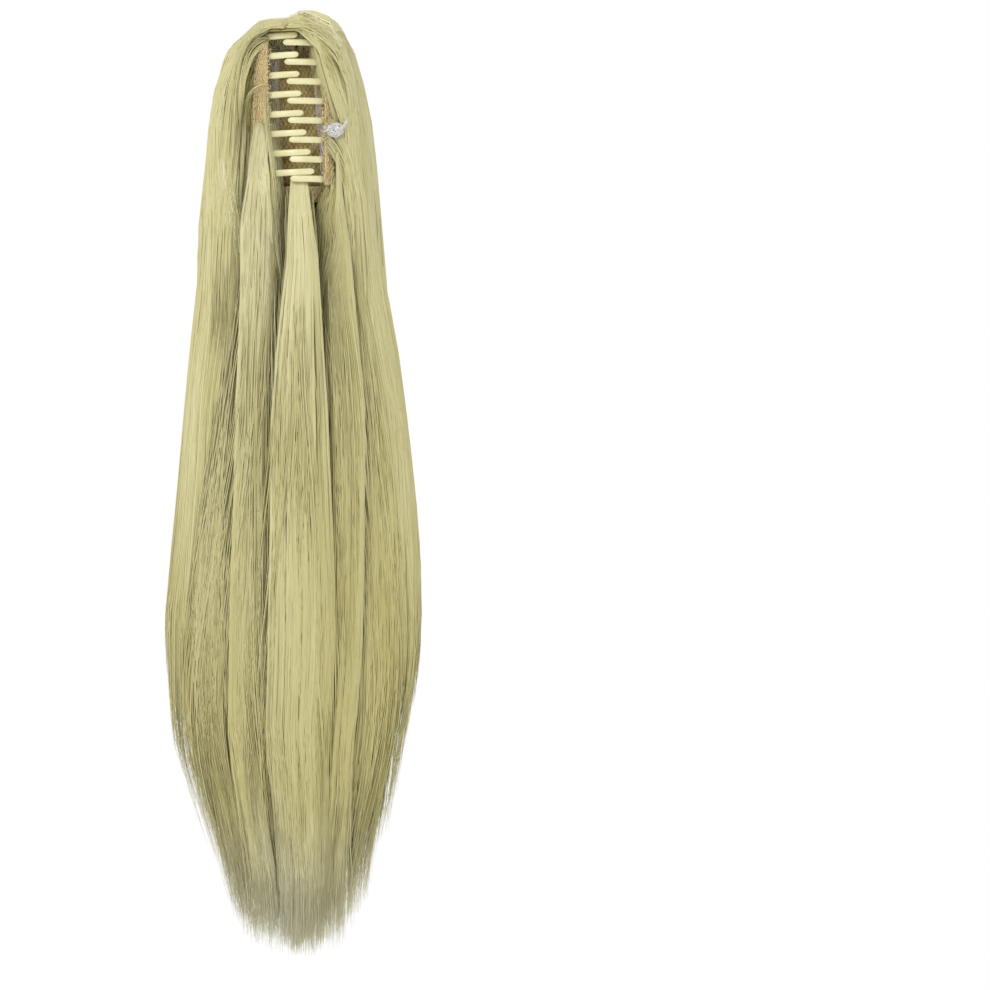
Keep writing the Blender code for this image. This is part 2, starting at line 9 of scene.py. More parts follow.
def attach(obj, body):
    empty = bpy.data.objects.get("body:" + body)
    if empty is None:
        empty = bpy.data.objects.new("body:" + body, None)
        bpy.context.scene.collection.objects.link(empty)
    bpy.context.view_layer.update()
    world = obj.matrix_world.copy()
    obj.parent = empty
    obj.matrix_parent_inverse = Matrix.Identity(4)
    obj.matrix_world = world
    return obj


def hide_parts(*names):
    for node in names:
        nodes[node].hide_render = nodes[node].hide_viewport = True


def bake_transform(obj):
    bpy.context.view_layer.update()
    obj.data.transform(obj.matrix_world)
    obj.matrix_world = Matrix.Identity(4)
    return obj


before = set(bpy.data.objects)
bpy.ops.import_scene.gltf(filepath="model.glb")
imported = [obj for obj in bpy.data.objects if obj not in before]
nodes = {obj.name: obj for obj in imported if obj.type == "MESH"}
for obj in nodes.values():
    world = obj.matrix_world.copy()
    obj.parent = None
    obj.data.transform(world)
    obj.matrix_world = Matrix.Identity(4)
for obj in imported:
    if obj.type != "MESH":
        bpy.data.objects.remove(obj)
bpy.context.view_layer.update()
pinY = 0.022  # the hinge axis stands here, at x = 0
crownTop = 0.063
hairLength = 0.600
mm = 0.001
fullTurn = 2 * math.pi
rng = np.random.default_rng(24)
print("frame loaded")


# Colour and nodes

def hexColour(code):
    parts = [int(code[k:k + 2], 16) / 255 for k in (1, 3, 5)]
    return tuple(p / 12.92 if p <= 0.04045 else ((p + 0.055) / 1.055) ** 2.4 for p in parts) + (1.0,)


def addNode(tree, kind, settings=None, values=None, links=None):
    made = tree.nodes.new(kind)
    for name, value in (settings or {}).items():
        setattr(made, name, value)
    for name, value in (values or {}).items():
        made.inputs[name].default_value = value
    for name, socket in (links or {}).items():
        tree.links.new(socket, made.inputs[name])
    return made


def startMaterial(name, **values):
    made = bpy.data.materials.new(name)
    made.use_nodes = True
    tree = made.node_tree
    tree.nodes.clear()
    shader = addNode(tree, "ShaderNodeBsdfPrincipled", values=values)
    addNode(tree, "ShaderNodeOutputMaterial", links={"Surface": shader.outputs["BSDF"]})
    coordinates = addNode(tree, "ShaderNodeTexCoord")
    return made, tree, shader, coordinates.outputs["Object"]


def addRamp(tree, level, codes, first=0.0, last=1.0):
    ramp = addNode(tree, "ShaderNodeValToRGB", links={"Fac": level})
    while len(ramp.color_ramp.elements) < len(codes):
        ramp.color_ramp.elements.new(0.5)
    for element, place, code in zip(ramp.color_ramp.elements, np.linspace(first, last, len(codes)), codes):
        element.position = place
        element.color = hexColour(code)
    return ramp.outputs["Color"]


# A single fibre of 0.08 mm is too fine to show, so streaks stand for bundles: 1.6 mm wide, 130 mm long.
streaks = {"wide": 1.6 * mm, "squeeze": 0.012}


def fibreMaterial(name, blonde, ashen, contrast, roughness):
    made, tree, shader, place = startMaterial(name, Roughness=roughness, IOR=1.55)
    stretched = addNode(tree, "ShaderNodeMapping", values={"Scale": (1.0, 1.0, streaks["squeeze"])},
                        links={"Vector": place})
    noise = addNode(tree, "ShaderNodeTexNoise", values={"Scale": 1 / streaks["wide"], "Detail": 3.0},
                    links={"Vector": stretched.outputs["Vector"]})
    shade = addNode(tree, "ShaderNodeAttribute", {"attribute_name": "shade"})
    ash = addNode(tree, "ShaderNodeAttribute", {"attribute_name": "ash"})
    spread = addNode(tree, "ShaderNodeMath", {"operation": "MULTIPLY_ADD"}, {1: contrast, 2: -contrast / 2},
                     {0: noise.outputs["Fac"]})
    level = addNode(tree, "ShaderNodeMath", {"operation": "ADD"},
                    links={0: spread.outputs[0], 1: shade.outputs["Fac"]})
    tones = [addRamp(tree, level.outputs[0], codes) for codes in (blonde, ashen)]
    mix = addNode(tree, "ShaderNodeMix", {"data_type": "RGBA"},
                  links={0: ash.outputs["Fac"], 6: tones[0], 7: tones[1]})
    tree.links.new(mix.outputs[2], shader.inputs["Base Color"])
    return made


# Heat-set synthetic hair, combed straight: fine streaks from olive shadow to pale blonde, a soft sheen.
hairLook = fibreMaterial("combedSyntheticFibre", ["#958a45", "#ada25f", "#bfb77b", "#d3cd9a", "#e9e4c3"],
                         ["#959064", "#aba680", "#bcb898", "#cecbb1", "#e4e2d0"], 0.16, 0.45)
# The same fibre deep inside a lock, in darker tones: painted shade for the fibre that lies in shade there.
shadedDeepHairLook = fibreMaterial("shadedPackedFibre", ["#988e56", "#b4ab72", "#ccc592"],
                             ["#a39c66", "#c0b984", "#d6d1a8"], 0.4, 0.7)


def noisyMaterial(name, low, high, patchMm, roughness, bump=0.0, grainMm=0.1, **values):
    made, tree, shader, place = startMaterial(name, Roughness=roughness, **values)
    noise = addNode(tree, "ShaderNodeTexNoise", values={"Scale": 1 / (patchMm * mm), "Detail": 4.0},
                    links={"Vector": place})
    colour = addRamp(tree, noise.outputs["Fac"], [low, high], 0.3, 0.7)
    tree.links.new(colour, shader.inputs["Base Color"])
    if bump:
        grain = addNode(tree, "ShaderNodeTexNoise", values={"Scale": 1 / (grainMm * mm), "Detail": 2.0},
                        links={"Vector": place})
        relief = addNode(tree, "ShaderNodeBump", values={"Strength": bump, "Distance": 0.1 * mm},
                         links={"Height": grain.outputs["Fac"]})
        tree.links.new(relief.outputs["Normal"], shader.inputs["Normal"])
    return made


# Injection-moulded ABS: milky cream, smooth, a soft broad highlight and faint flow clouding.
plasticLook = noisyMaterial("mouldedCreamAbs", "#cec796", "#dcd6ac", 9.0, 0.34, 0.08, 0.9, IOR=1.52,
                            **{"Subsurface Weight": 0.12, "Subsurface Scale": 2 * mm})
# Drawn spring steel, plain and slightly dulled.
steelLook = noisyMaterial("drawnSpringSteel", "#8f8f8c", "#b9b9b5", 2.0, 0.32, 0.1, 0.2, Metallic=1.0)
# Knitted polyester net, tan, matt and a little fuzzy.
netLook = noisyMaterial("knittedTanPolyester", "#d3b982", "#f4e4ba", 1.6, 0.85, 0.3, 0.25)
# A sheet under the loops, khaki tan: painted shade, standing for the shaded hair seen through the open net.
shadedNetGroundLook = noisyMaterial("paintedShadeNetGround", "#b39e6a", "#d3c190", 1.2, 0.95, 0.4, 0.3)
# The lining behind the teeth: the same net in olive, darker in patches 7 mm across.
liningLook = noisyMaterial("wovenOliveLining", "#b79d5a", "#ecdca0", 7.0, 0.95, 0.4, 0.3)
# Spun polyester sewing thread, twisted, off white with a pink cast.
threadLook = noisyMaterial("spunPolyesterThread", "#ead9cb", "#fff6ee", 0.9, 0.8, 0.3, 0.2)
# The wound knot's thread is greyer.
knotLook = noisyMaterial("woundGreyThread", "#b3b1ae", "#e9e8e6", 0.8, 0.85, 0.3, 0.2)
print("materials made")


# Meshes from arrays: points and faces of many tubes at once. paths is strands x stations x 3.

def unit(vectors):
    return vectors / np.maximum(np.linalg.norm(vectors, axis=-1, keepdims=True), 1e-12)


def xyz(x, y, z):
    return np.stack(np.broadcast_arrays(x, y, z), axis=-1)


def turnsOf(count):
    return fullTurn * np.arange(count) / count


def tubeArrays(paths, outward, widths, heights, sides):
    count, stations = paths.shape[:2]
    ahead = np.zeros_like(paths)
    ahead[:, 1:-1] = paths[:, 2:] - paths[:, :-2]
    ahead[:, 0] = paths[:, 1] - paths[:, 0]
    ahead[:, -1] = paths[:, -1] - paths[:, -2]
    ahead = unit(ahead)
    up = unit(outward - ahead * np.sum(outward * ahead, axis=-1, keepdims=True))
    across = np.cross(ahead, up)
    turns = turnsOf(sides) - math.pi * 5 / 6  # a three-sided strand lies on a flat side
    ring = (across[:, :, None] * (np.cos(turns)[:, None] * widths[:, :, None, None] / 2)
            + up[:, :, None] * (np.sin(turns)[:, None] * heights[:, :, None, None] / 2))
    points = (paths[:, :, None] + ring).reshape(-1, 3)
    base = np.arange(count)[:, None, None] * stations * sides
    k = base + np.arange(stations - 1)[None, :, None] * sides
    i = np.arange(sides)[None, None, :]
    j = (i + 1) % sides
    quads = np.stack([k + i, k + sides + i, k + sides + j, k + j], axis=-1).reshape(-1, 4)
    first = (np.arange(count) * stations * sides)[:, None] + np.arange(sides)[None]
    last = first + (stations - 1) * sides
    return points, quads.tolist() + np.concatenate([first, last[:, ::-1]]).tolist()


# Threads of one thickness along given paths. near is the point that they face away from.
def threadArrays(paths, thickness, sides=5, near=(0.0, pinY, 0.0)):
    paths = np.asarray(paths, dtype=float)
    outward = paths - np.array(near)
    outward[..., 2] = 0
    sizes = np.full(paths.shape[:2], thickness)
    return tubeArrays(paths, unit(outward + 1e-6), sizes, sizes, sides)


def outwardFaces(points, faces):
    total = 0.0
    for face in faces:
        a = points[face[0]]
        for b, c in zip(face[1:-1], face[2:]):
            total += np.dot(a, np.cross(points[b], points[c]))
    return points, faces if total >= 0 else [face[::-1] for face in faces]


# A skin over rings of points. A closed one joins its last ring to its first, and has no caps.
def loftArrays(rings, closed=False):
    rings = np.asarray(rings)
    rows, count = rings.shape[:2]
    faces = []
    for k in range(rows if closed else rows - 1):
        a, b = k * count, (k + 1) % rows * count
        for i in range(count):
            j = (i + 1) % count
            faces.append([a + i, a + j, b + j, b + i])
    if not closed:
        faces += [list(range(count))[::-1], [(rows - 1) * count + i for i in range(count)]]
    return outwardFaces(rings.reshape(-1, 3), faces)


def joinArrays(parts):
    points, faces, offset = [], [], 0
    for some, those in parts:
        points.append(some)
        faces.extend([offset + v for v in face] for face in those)
        offset += len(some)
    return np.concatenate(points), faces


def addObject(name, data):
    made = bpy.data.objects.new(name, data)
    bpy.context.scene.collection.objects.link(made)
    return made


def addLayers(mesh, layers):
    for title, values in layers.items():
        layer = mesh.attributes.new(title, "FLOAT", "POINT")
        layer.data.foreach_set("value", np.asarray(values, dtype=np.float32))


def meshPiece(name, arrays, look, layers=None):
    points, faces = arrays
    mesh = bpy.data.meshes.new(name)
    mesh.from_pydata(points.tolist(), [], faces)
    mesh.materials.append(look)
    addLayers(mesh, layers or {})
    mesh.polygons.foreach_set("use_smooth", [True] * len(mesh.polygons))
    mesh.update()
    return addObject(name, mesh)


# A smooth curve through the corners, at evenly spaced stations.
def smoothPath(corners, stations):
    corners = np.asarray(corners, dtype=float)
    knots = np.concatenate([[0], np.cumsum(np.linalg.norm(np.diff(corners, axis=0), axis=1))])
    knots /= knots[-1]
    padded = np.concatenate([[2 * corners[0] - corners[1]], corners, [2 * corners[-1] - corners[-2]]])
    places = np.linspace(0, 1, stations)
    spans = np.clip(np.searchsorted(knots, places, side="right") - 1, 0, len(corners) - 2)
    t = ((places - knots[spans]) / (knots[spans + 1] - knots[spans]))[:, None]
    a, b, c, d = (padded[spans + k] for k in range(4))
    return 0.5 * (2 * b + (c - a) * t + (2 * a - 5 * b + 4 * c - d) * t**2 + (3 * b - a - 3 * c + d) * t**3)


# Outer surface of the hair solids, read with rays towards the hinge axis. Angles run from the back.

def treeOf(names):
    points, faces = [], []
    for name in names:
        mesh = nodes[name].data
        base = len(points)
        points.extend(v.co.copy() for v in mesh.vertices)
        faces.extend([base + v for v in p.vertices] for p in mesh.polygons)
    return BVHTree.FromPolygons(points, faces)


rayStart = 0.14  # outside all the hair


def rayReach(tree, angle, z):
    turn = math.radians(angle)
    start = Vector((rayStart * math.sin(turn), pinY + rayStart * math.cos(turn), z))
    hit = tree.ray_cast(start, Vector((-math.sin(turn), -math.cos(turn), 0)), rayStart - 1 * mm)
    return None if hit[0] is None else rayStart - hit[3]


def heightAt(share):
    return crownTop - hairLength * share


# Levels are shares of the length below the crown's top. The reference level is where the locks part.
levelShares = [0.002, 0.0048, 0.011, 0.016, 0.0235, 0.036, 0.053, 0.068, 0.084, 0.10, 0.116, 0.133, 0.15,
               0.165, 0.179, 0.192, 0.205, 0.218, 0.25, 0.30, 0.36, 0.43, 0.50, 0.57, 0.64, 0.70, 0.76, 0.81,
               0.86, 0.91, 0.95, 0.985]
refShare = 0.64
acrossCount = 41
scanStep = 2.0
halvings = 5


def scanHair(name):
    tree = treeOf([name])
    heights = [v.co.z for v in nodes[name].data.vertices]
    top = (crownTop - max(heights)) / hairLength + 0.001
    lowest = -180 if name == "back_hair" else 0
    shares, first, last, reach = [], [], [], []
    for share in [top] + [s for s in levelShares if s > top + 0.004]:
        z = heightAt(share)
        hits = [a for a in np.arange(lowest, lowest + 360, scanStep) if rayReach(tree, a, z) is not None]
        if not hits:
            continue
        ends = []
        for inside, outside in ((hits[0], hits[0] - scanStep), (hits[-1], hits[-1] + scanStep)):
            for _ in range(halvings):
                middle = (inside + outside) / 2
                found = rayReach(tree, middle, z) is not None
                inside, outside = (middle, outside) if found else (inside, middle)
            ends.append(inside)
        row = [rayReach(tree, ends[0] + (ends[1] - ends[0]) * k / (acrossCount - 1), z)
               for k in range(acrossCount)]
        known = [k for k, r in enumerate(row) if r is not None]
        shares.append(share)
        first.append(ends[0])
        last.append(ends[1])
        reach.append(np.interp(np.arange(acrossCount), known, [row[k] for k in known]))
    return {"shares": np.array(shares), "first": np.array(first), "last": np.array(last),
            "reach": np.array(reach)}


# Angle and reach of the surface: u runs from 0 to 1 over its width, share down its length.
def surfaceAt(scan, u, share):
    shares, table = scan["shares"], scan["reach"]
    first, last = np.interp(share, shares, scan["first"]), np.interp(share, shares, scan["last"])
    row = np.interp(share, shares, np.arange(len(shares)))
    column = np.clip(u, 0, 1) * (acrossCount - 1)
    r, c = np.minimum(row.astype(int), len(shares) - 2), np.minimum(column.astype(int), acrossCount - 2)
    down, over = row - r, column - c
    reach = ((table[r, c] * (1 - over) + table[r, c + 1] * over) * (1 - down)
             + (table[r + 1, c] * (1 - over) + table[r + 1, c + 1] * over) * down)
    return np.radians(first + (last - first) * u), reach


hairNodes = ["left_hair", "right_hair", "back_hair", "left_inner_lock", "centre_lock", "right_inner_lock"]
allHair = treeOf(hairNodes)
tailShares = np.linspace(0.60, 0.997, 26)
tailBox = []
for share in tailShares:
    ring = []
    for angle in range(0, 360, 3):
        reach = rayReach(allHair, angle, heightAt(share))
        if reach:
            turn = math.radians(angle)
            ring.append((reach * math.sin(turn), pinY + reach * math.cos(turn)))
    (lowX, lowY), (highX, highY) = np.min(ring, axis=0), np.max(ring, axis=0)
    tailBox.append([(lowX + highX) / 2, (highX - lowX) / 2, (lowY + highY) / 2, (highY - lowY) / 2])
tailBox = np.array(tailBox)
scans = {name: scanHair(name) for name in hairNodes}
print("hair solids scanned")


# The tail's box at a level: its middle and half width, then its middle and half depth.
def tailAt(share):
    return [np.interp(share, tailShares, tailBox[:, k]) for k in range(4)]


# Over the crown the left side sits lower at the parting and the right side rises to a rounded peak, and
# the sides are drawn in a little. All in millimetres.
crest = {"x": [-30, -18, -9, -6, -3, 3, 9, 18, 30], "rise": [0, -1.0, -2.4, -2.6, -0.6, 1.6, 2.4, 0.9, 0],
         "from": 48, "over": 13, "depth": [18, 42], "narrow": 2.8, "waist": 53, "waistOver": 11, "side": 25}


def crestShaped(x, y, z):
    x, z = x / mm, z / mm
    rise = np.interp(x, crest["x"], crest["rise"]) * np.clip((z - crest["from"]) / crest["over"], 0, 1)
    rise = rise * np.interp(y / mm, crest["depth"], [1, 0])
    inwards = crest["narrow"] * np.clip(1 - np.abs(z - crest["waist"]) / crest["waistOver"], 0, 1)
    inwards = inwards * np.clip(np.abs(x) / crest["side"] - 0.2, 0, 1)
    return (x - np.sign(x) * inwards) * mm, (z + rise) * mm


# The hem: how far down the hair reaches, by its place across the tail, in millimetres and shares.
hem = {"x": [-84, -79, -69, -59, -48.5, -38.5, -28.5, -13, -3, 7, 17, 27, 37, 42, 47.5, 57.5, 67.5,
             77.5, 84],
       "share": [0.68, 0.783, 0.821, 0.869, 0.902, 0.966, 0.982, 0.994, 1.0, 1.0, 0.992, 0.983, 0.953,
                 0.945, 0.895, 0.858, 0.777, 0.70, 0.62], "least": 0.5}


# Where a strand goes below the reference level: it keeps its own line, drawn in by its pull,
# and ends where it reaches the hem.
def tailPaths(x, y, pull):
    cx, a, cy, b = tailAt(refShare)
    qx, qy = (x - cx) / a, (y - cy) / b
    rho = np.sqrt(qx**2 + qy**2)
    side = np.where(qy < 0, -1.0, 1.0)

    def at(share):
        cxs, wide, cys, deep = tailAt(share)
        q = qx * (a / wide) * (1 - pull * (1 - np.maximum(wide / a, hem["least"])))
        x = cxs + wide * q
        past = share - np.interp(x / mm, hem["x"], hem["share"])
        return x, cys + deep * side * np.sqrt(np.maximum(rho**2 - q**2, 0)), past
    return at


def tailEnds(at, count, slack):
    finer = np.linspace(refShare, 0.998, 90)
    out = at(np.repeat(finer[None], count, axis=0))[2] > slack
    return np.where(out.any(axis=1), finer[np.argmax(out, axis=1)], 0.997)[:, None]


# Base shade and ashen share of the hair, by its angle round the hinge and its share of the length.
tone = {"angles": [0, 40, 90, 112, 125, 150, 190, 222, 245, 262, 300, 360],
        "shades": [0.66, 0.64, 0.60, 0.60, 0.54, 0.60, 0.64, 0.62, 0.56, 0.62, 0.62, 0.66],
        "ashAngles": [150, 170, 200, 215, 232, 240, 360], "ash": [0.12, 0.12, 0.2, 0.3, 0.3, 0.1, 0.1],
        "paintedFade": 0.24, "behind": 0.08, "tips": 0.40, "tipAsh": 0.35}


def hairTone(phi, share):
    behind = tone["behind"] * np.clip(np.cos(np.radians(phi)), -0.5, 1)
    # Painted shade: the lower tail is darker, more so at the back, for light that falls from above.
    paintedFade = np.clip((share - 0.25) / 0.5, 0, 1) * (tone["paintedFade"] + behind)
    tips = np.clip((share - 0.84) / 0.12, 0, 1) * tone["tips"]
    # Broad light and dark bands across and along the hair: painted light and shade, like that between locks.
    bands = 0.04 * np.sin(phi * 0.33 + 1.0) * np.sin(phi * 0.11 + share * 3)
    bands = bands + 0.03 * np.sin(share * 17 + phi * 0.05)
    ash = np.interp(phi, tone["ashAngles"], tone["ash"])
    ash = ash + np.clip((share - 0.82) / 0.16, 0, 1) * tone["tipAsh"]
    return np.interp(phi, tone["angles"], tone["shades"]) - paintedFade + tips + bands, ash


def shadeOf(phi, share, clumpShade, lift=0.0):
    base, ash = hairTone(np.degrees(phi) % 360, share)
    # Painted light and shade: strands that stand proud are made lighter and sunken ones darker.
    shade = base + clumpShade + np.clip(lift / mm, -2, 1) * 0.06  # what stands proud is lighter
    return np.clip(shade, 0, 1), np.clip(ash, 0, 1)


def outFrom(phi):
    return xyz(np.sin(phi), np.cos(phi), 0.0)


# One draw for each strand, as a column.
def drawn(low, high, count):
    return rng.uniform(low, high, (count, 1))


# Thinning of a strand towards its tip, over the last share of its length.
def taperTo(stations, length, least=0.12):
    return np.clip((1 - np.linspace(0, 1, stations)) / length, least, 1)[None]


# Strands stray sideways below 0.72 of the length, more and more towards the tips.
def strayOf(share, count, most):
    return rng.normal(0, 1.0, (count, 1)) * mm * np.clip((share - 0.72) / 0.2, 0, 1) ** 2 * most


# Strands combed over one hair solid, in clumps that share their wander and shade.
def combStrands(scan, s):
    count, stations, clumps = s["strands"], s["stations"], s["clumps"]
    top = s.get("from", scan["shares"][0])
    grid = np.linspace(0.004, 0.996, 240)
    arc = np.zeros(239)
    for share in np.linspace(max(top, 0.05), 0.75, 12):
        phi, reach = surfaceAt(scan, grid, np.full(240, share))
        arc += np.hypot(np.diff(reach * np.sin(phi)), np.diff(reach * np.cos(phi)))
    spread = np.concatenate([[0], np.cumsum(arc) / arc.sum()])
    clumpPlace = (np.arange(clumps) + rng.uniform(0.35, 0.65, clumps)) / clumps
    own = rng.integers(0, clumps, (count, 1))
    offset = np.clip(rng.normal(0, 0.6, (count, 1)), -1.5, 1.5)
    place = np.clip(clumpPlace[own] + 0.62 / clumps * offset, 0.002, 0.998)
    start = top + drawn(0, 1, count) * s["startSpread"]
    late = drawn(0, 1, count) < s["lateShare"]
    start = np.where(late, drawn(top, 0.55, count), start)
    clumpPhase = rng.uniform(0, fullTurn, (clumps, 3))
    strandPhase = rng.uniform(0, fullTurn, (count, 2))[:, :1]
    lift = rng.uniform(-0.5, 0.7, clumps)[own] * s["relief"]
    lift = (lift - 0.5 * offset**2 * s["relief"] + drawn(-0.3, 0.5, count) + 0.8) * mm
    steady = 0.68 + 0.16 * np.sin(np.arange(clumps) * 1.1) + rng.uniform(-0.07, 0.07, clumps)
    pull = np.clip(steady[own] + rng.normal(0, 0.04, (count, 1)), 0.2, 1.0)

    def pathAt(share):
        below = share - top
        gather = s["gather"] * np.clip((share - 0.12) / 0.5, 0, 1)
        swing = np.sin(share * 9 + clumpPhase[own, 0]) + 0.6 * np.sin(share * 21 + clumpPhase[own, 1])
        spot = place - gather * 0.6 / clumps * offset
        spot = spot + s["wander"] / clumps * 0.5 * swing * np.clip(below * 8, 0, 1)
        spot = spot + 0.16 / clumps * np.sin(share * 30 + strandPhase) * np.clip(below * 6, 0, 1)
        u = np.interp(np.clip(spot, 0.002, 0.998), spread, grid)
        pinch = np.interp(share, [top, top + 0.09], [s.get("pinch", 1.0), 1.0])
        u = 0.5 + (u - 0.5) * pinch * s.get("overhang", 1.0)
        phi, reach = surfaceAt(scan, u, np.minimum(share, refShare))
        away = reach + lift * np.clip(below * 30, 0.25, 1)
        return away * np.sin(phi), pinY + away * np.cos(phi), phi

    xRef, yRef, _ = pathAt(np.full((count, 1), refShare))
    tail = tailPaths(xRef, yRef, pull)
    end = tailEnds(tail, count, drawn(-0.022, 0.006, count))
    ragged = 0.004 + 0.004 * np.sin(xRef / (3.1 * mm)) + 0.014 * rng.uniform(0, 1, clumps)[own]
    end = np.minimum(end - drawn(0, 1, count) ** 4 * s["tipSpread"], 1.0) - ragged
    end = np.maximum(end, start + 0.12)
    steps = np.concatenate([[0, 0.0015], 0.003 + 0.997 * np.linspace(0, 1, stations - 2) ** s["warp"]])
    share = start + (end - start) * steps
    x, y, phi = pathAt(share)
    # Strands that start on the crown come together over the hinge.
    early = (start < 0.013) & ("from" not in s)
    gathered = np.where(early, np.concatenate([[0.12, 0.62], np.ones(stations - 2)]), 1.0)
    x, y = x * gathered, pinY + (y - pinY) * gathered
    xTail, yTail, _ = tail(share)
    low = share > refShare
    x, y = np.where(low, xTail, x) + strayOf(share, count, 1.6), np.where(low, yTail, y)
    x, z = crestShaped(x, y, heightAt(share) + (1 - gathered) * 1.6 * mm)
    outward = outFrom(phi)
    outward[..., 2] = np.clip(1 - (share - top) * 40, 0, 1) * (top < 0.02)
    widths = drawn(*s["width"], count) * mm * taperTo(stations, 0.22)
    widths = widths * np.where(gathered < 0.3, 0.4, 1)
    if "from" in s:
        widths = widths * np.clip(0.3 + np.linspace(0, 1, stations) * 9, 0, 1)
    clumpShade = rng.uniform(-0.05, 0.05, clumps)[own] + rng.normal(0, 0.04, (count, 1))
    return xyz(x, y, z), unit(outward), widths, shadeOf(phi, share, clumpShade, lift)


# Strands inside the lower tail, which show as the outer ones end.
def fillStrands(scan, count):
    stations = 9
    u = drawn(0.04, 0.96, count)
    depth = drawn(0.0, 1.0, count) ** 0.7
    phi, reach = surfaceAt(scan, u, np.full((count, 1), refShare))
    away = reach * (0.35 + 0.63 * depth)
    tail = tailPaths(away * np.sin(phi), pinY + away * np.cos(phi), drawn(0.3, 1.0, count))
    end = tailEnds(tail, count, drawn(-0.05, 0.0, count))
    end = np.maximum(end - drawn(0, 1, count) ** 2 * 0.05, refShare + 0.08)
    start = drawn(refShare, refShare + 0.03, count)
    share = start + (end - start) * np.linspace(0, 1, stations)
    x, y, _ = tail(share)
    paths = xyz(x + strayOf(share, count, 1.8), y, heightAt(share))
    phi = phi + 0 * share
    widths = drawn(0.6, 1.1, count) * mm * taperTo(stations, 0.35)
    return paths, outFrom(phi), widths, shadeOf(phi, share, rng.normal(-0.01, 0.05, (count, 1)))


# Strands over the side of a hair solid, where it was parted from its neighbour.
def sideStrands(scan, end, count):
    stations, step = 18, -1 if end == "first" else 1
    deep = drawn(0.02, 1.0, count)
    start = max(scan["shares"][0], 0.03) + drawn(0, 0.05, count)
    stop = drawn(0.6, 0.9, count)
    share = start + (stop - start) * np.linspace(0, 1, stations)
    phi, outer = surfaceAt(scan, np.full_like(share, 0.0 if end == "first" else 1.0), share)
    inner = np.minimum(np.interp(share, [0.19, 0.24, 0.9], [31.0 * mm, 10 * mm, 3 * mm]), outer - 1 * mm)
    wave = 1.2 * mm * np.sin(share * 14 + drawn(0, 6.3, count))
    away = inner + (outer - inner) * deep + wave * np.minimum(deep, 1 - deep) * 2
    phi = phi + step * drawn(0.1, 1.0, count) * mm / away
    paths = xyz(away * np.sin(phi), pinY + away * np.cos(phi), heightAt(share))
    widths = drawn(0.6, 1.0, count) * mm * taperTo(stations, 0.2)
    # Painted shade: strands that lie deeper in the parting are darker.
    clumpShade = rng.normal(0.0, 0.06, (count, 1)) - 0.08 * (1 - deep)
    return paths, step * outFrom(phi + math.pi / 2), widths, shadeOf(phi, share, clumpShade)


# One mesh from batches of paths, outward directions, widths and tones.
def strandPiece(name, batches):
    arrays = joinArrays([tubeArrays(paths, outward, widths, widths * 0.7, 3)
                         for paths, outward, widths, _ in batches])
    layers = {title: np.concatenate([np.repeat(batch[3][k].reshape(-1), 3) for batch in batches])
              for k, title in enumerate(("shade", "ash"))}
    return meshPiece(name, arrays, hairLook, layers)


crownSettings = {"strands": 1450, "stations": 18, "clumps": 70, "startSpread": 0.01, "lateShare": 0.14,
                 "gather": 0.12, "wander": 0.7, "relief": 0.4, "width": (0.75, 1.2), "tipSpread": 0.08,
                 "warp": 1.6, "fill": 600, "sides": 120, "parted": []}
lockSettings = {"strands": 340, "stations": 16, "clumps": 10, "startSpread": 0.02, "lateShare": 0.10,
                "gather": 0.1, "wander": 0.6, "relief": 0.4, "width": (0.7, 1.1), "tipSpread": 0.08,
                "warp": 1.2, "fill": 150, "sides": 45, "parted": ["first", "last"]}
hairSettings = {
    "left_hair": {**crownSettings, "parted": ["first"]},
    "right_hair": {**crownSettings, "parted": ["last"]},
    "back_hair": {**crownSettings, "strands": 620, "clumps": 13, "fill": 160, "overhang": 1.09},
    "left_inner_lock": {**lockSettings, "from": 0.135, "pinch": 0.9},
    "centre_lock": {**lockSettings, "strands": 560, "clumps": 18, "from": 0.176, "startSpread": 0.004,
                    "pinch": 0.62, "fill": 160},
    "right_inner_lock": {**lockSettings, "strands": 260, "clumps": 8, "from": 0.150, "pinch": 0.6},
}
packing = {"inset": 0.7 * mm, "rootInset": 4.2 * mm, "rootFrom": 0.055, "rootOver": 0.035, "rootTop": 0.012,
           "tailFrom": 0.66, "tailOver": 0.3, "narrowing": 0.6, "tipFrom": 0.86, "tipKept": 0.3,
           "crown": 0.06, "crownTop": 0.03, "crownDrop": 1.2 * mm, "least": 1 * mm}


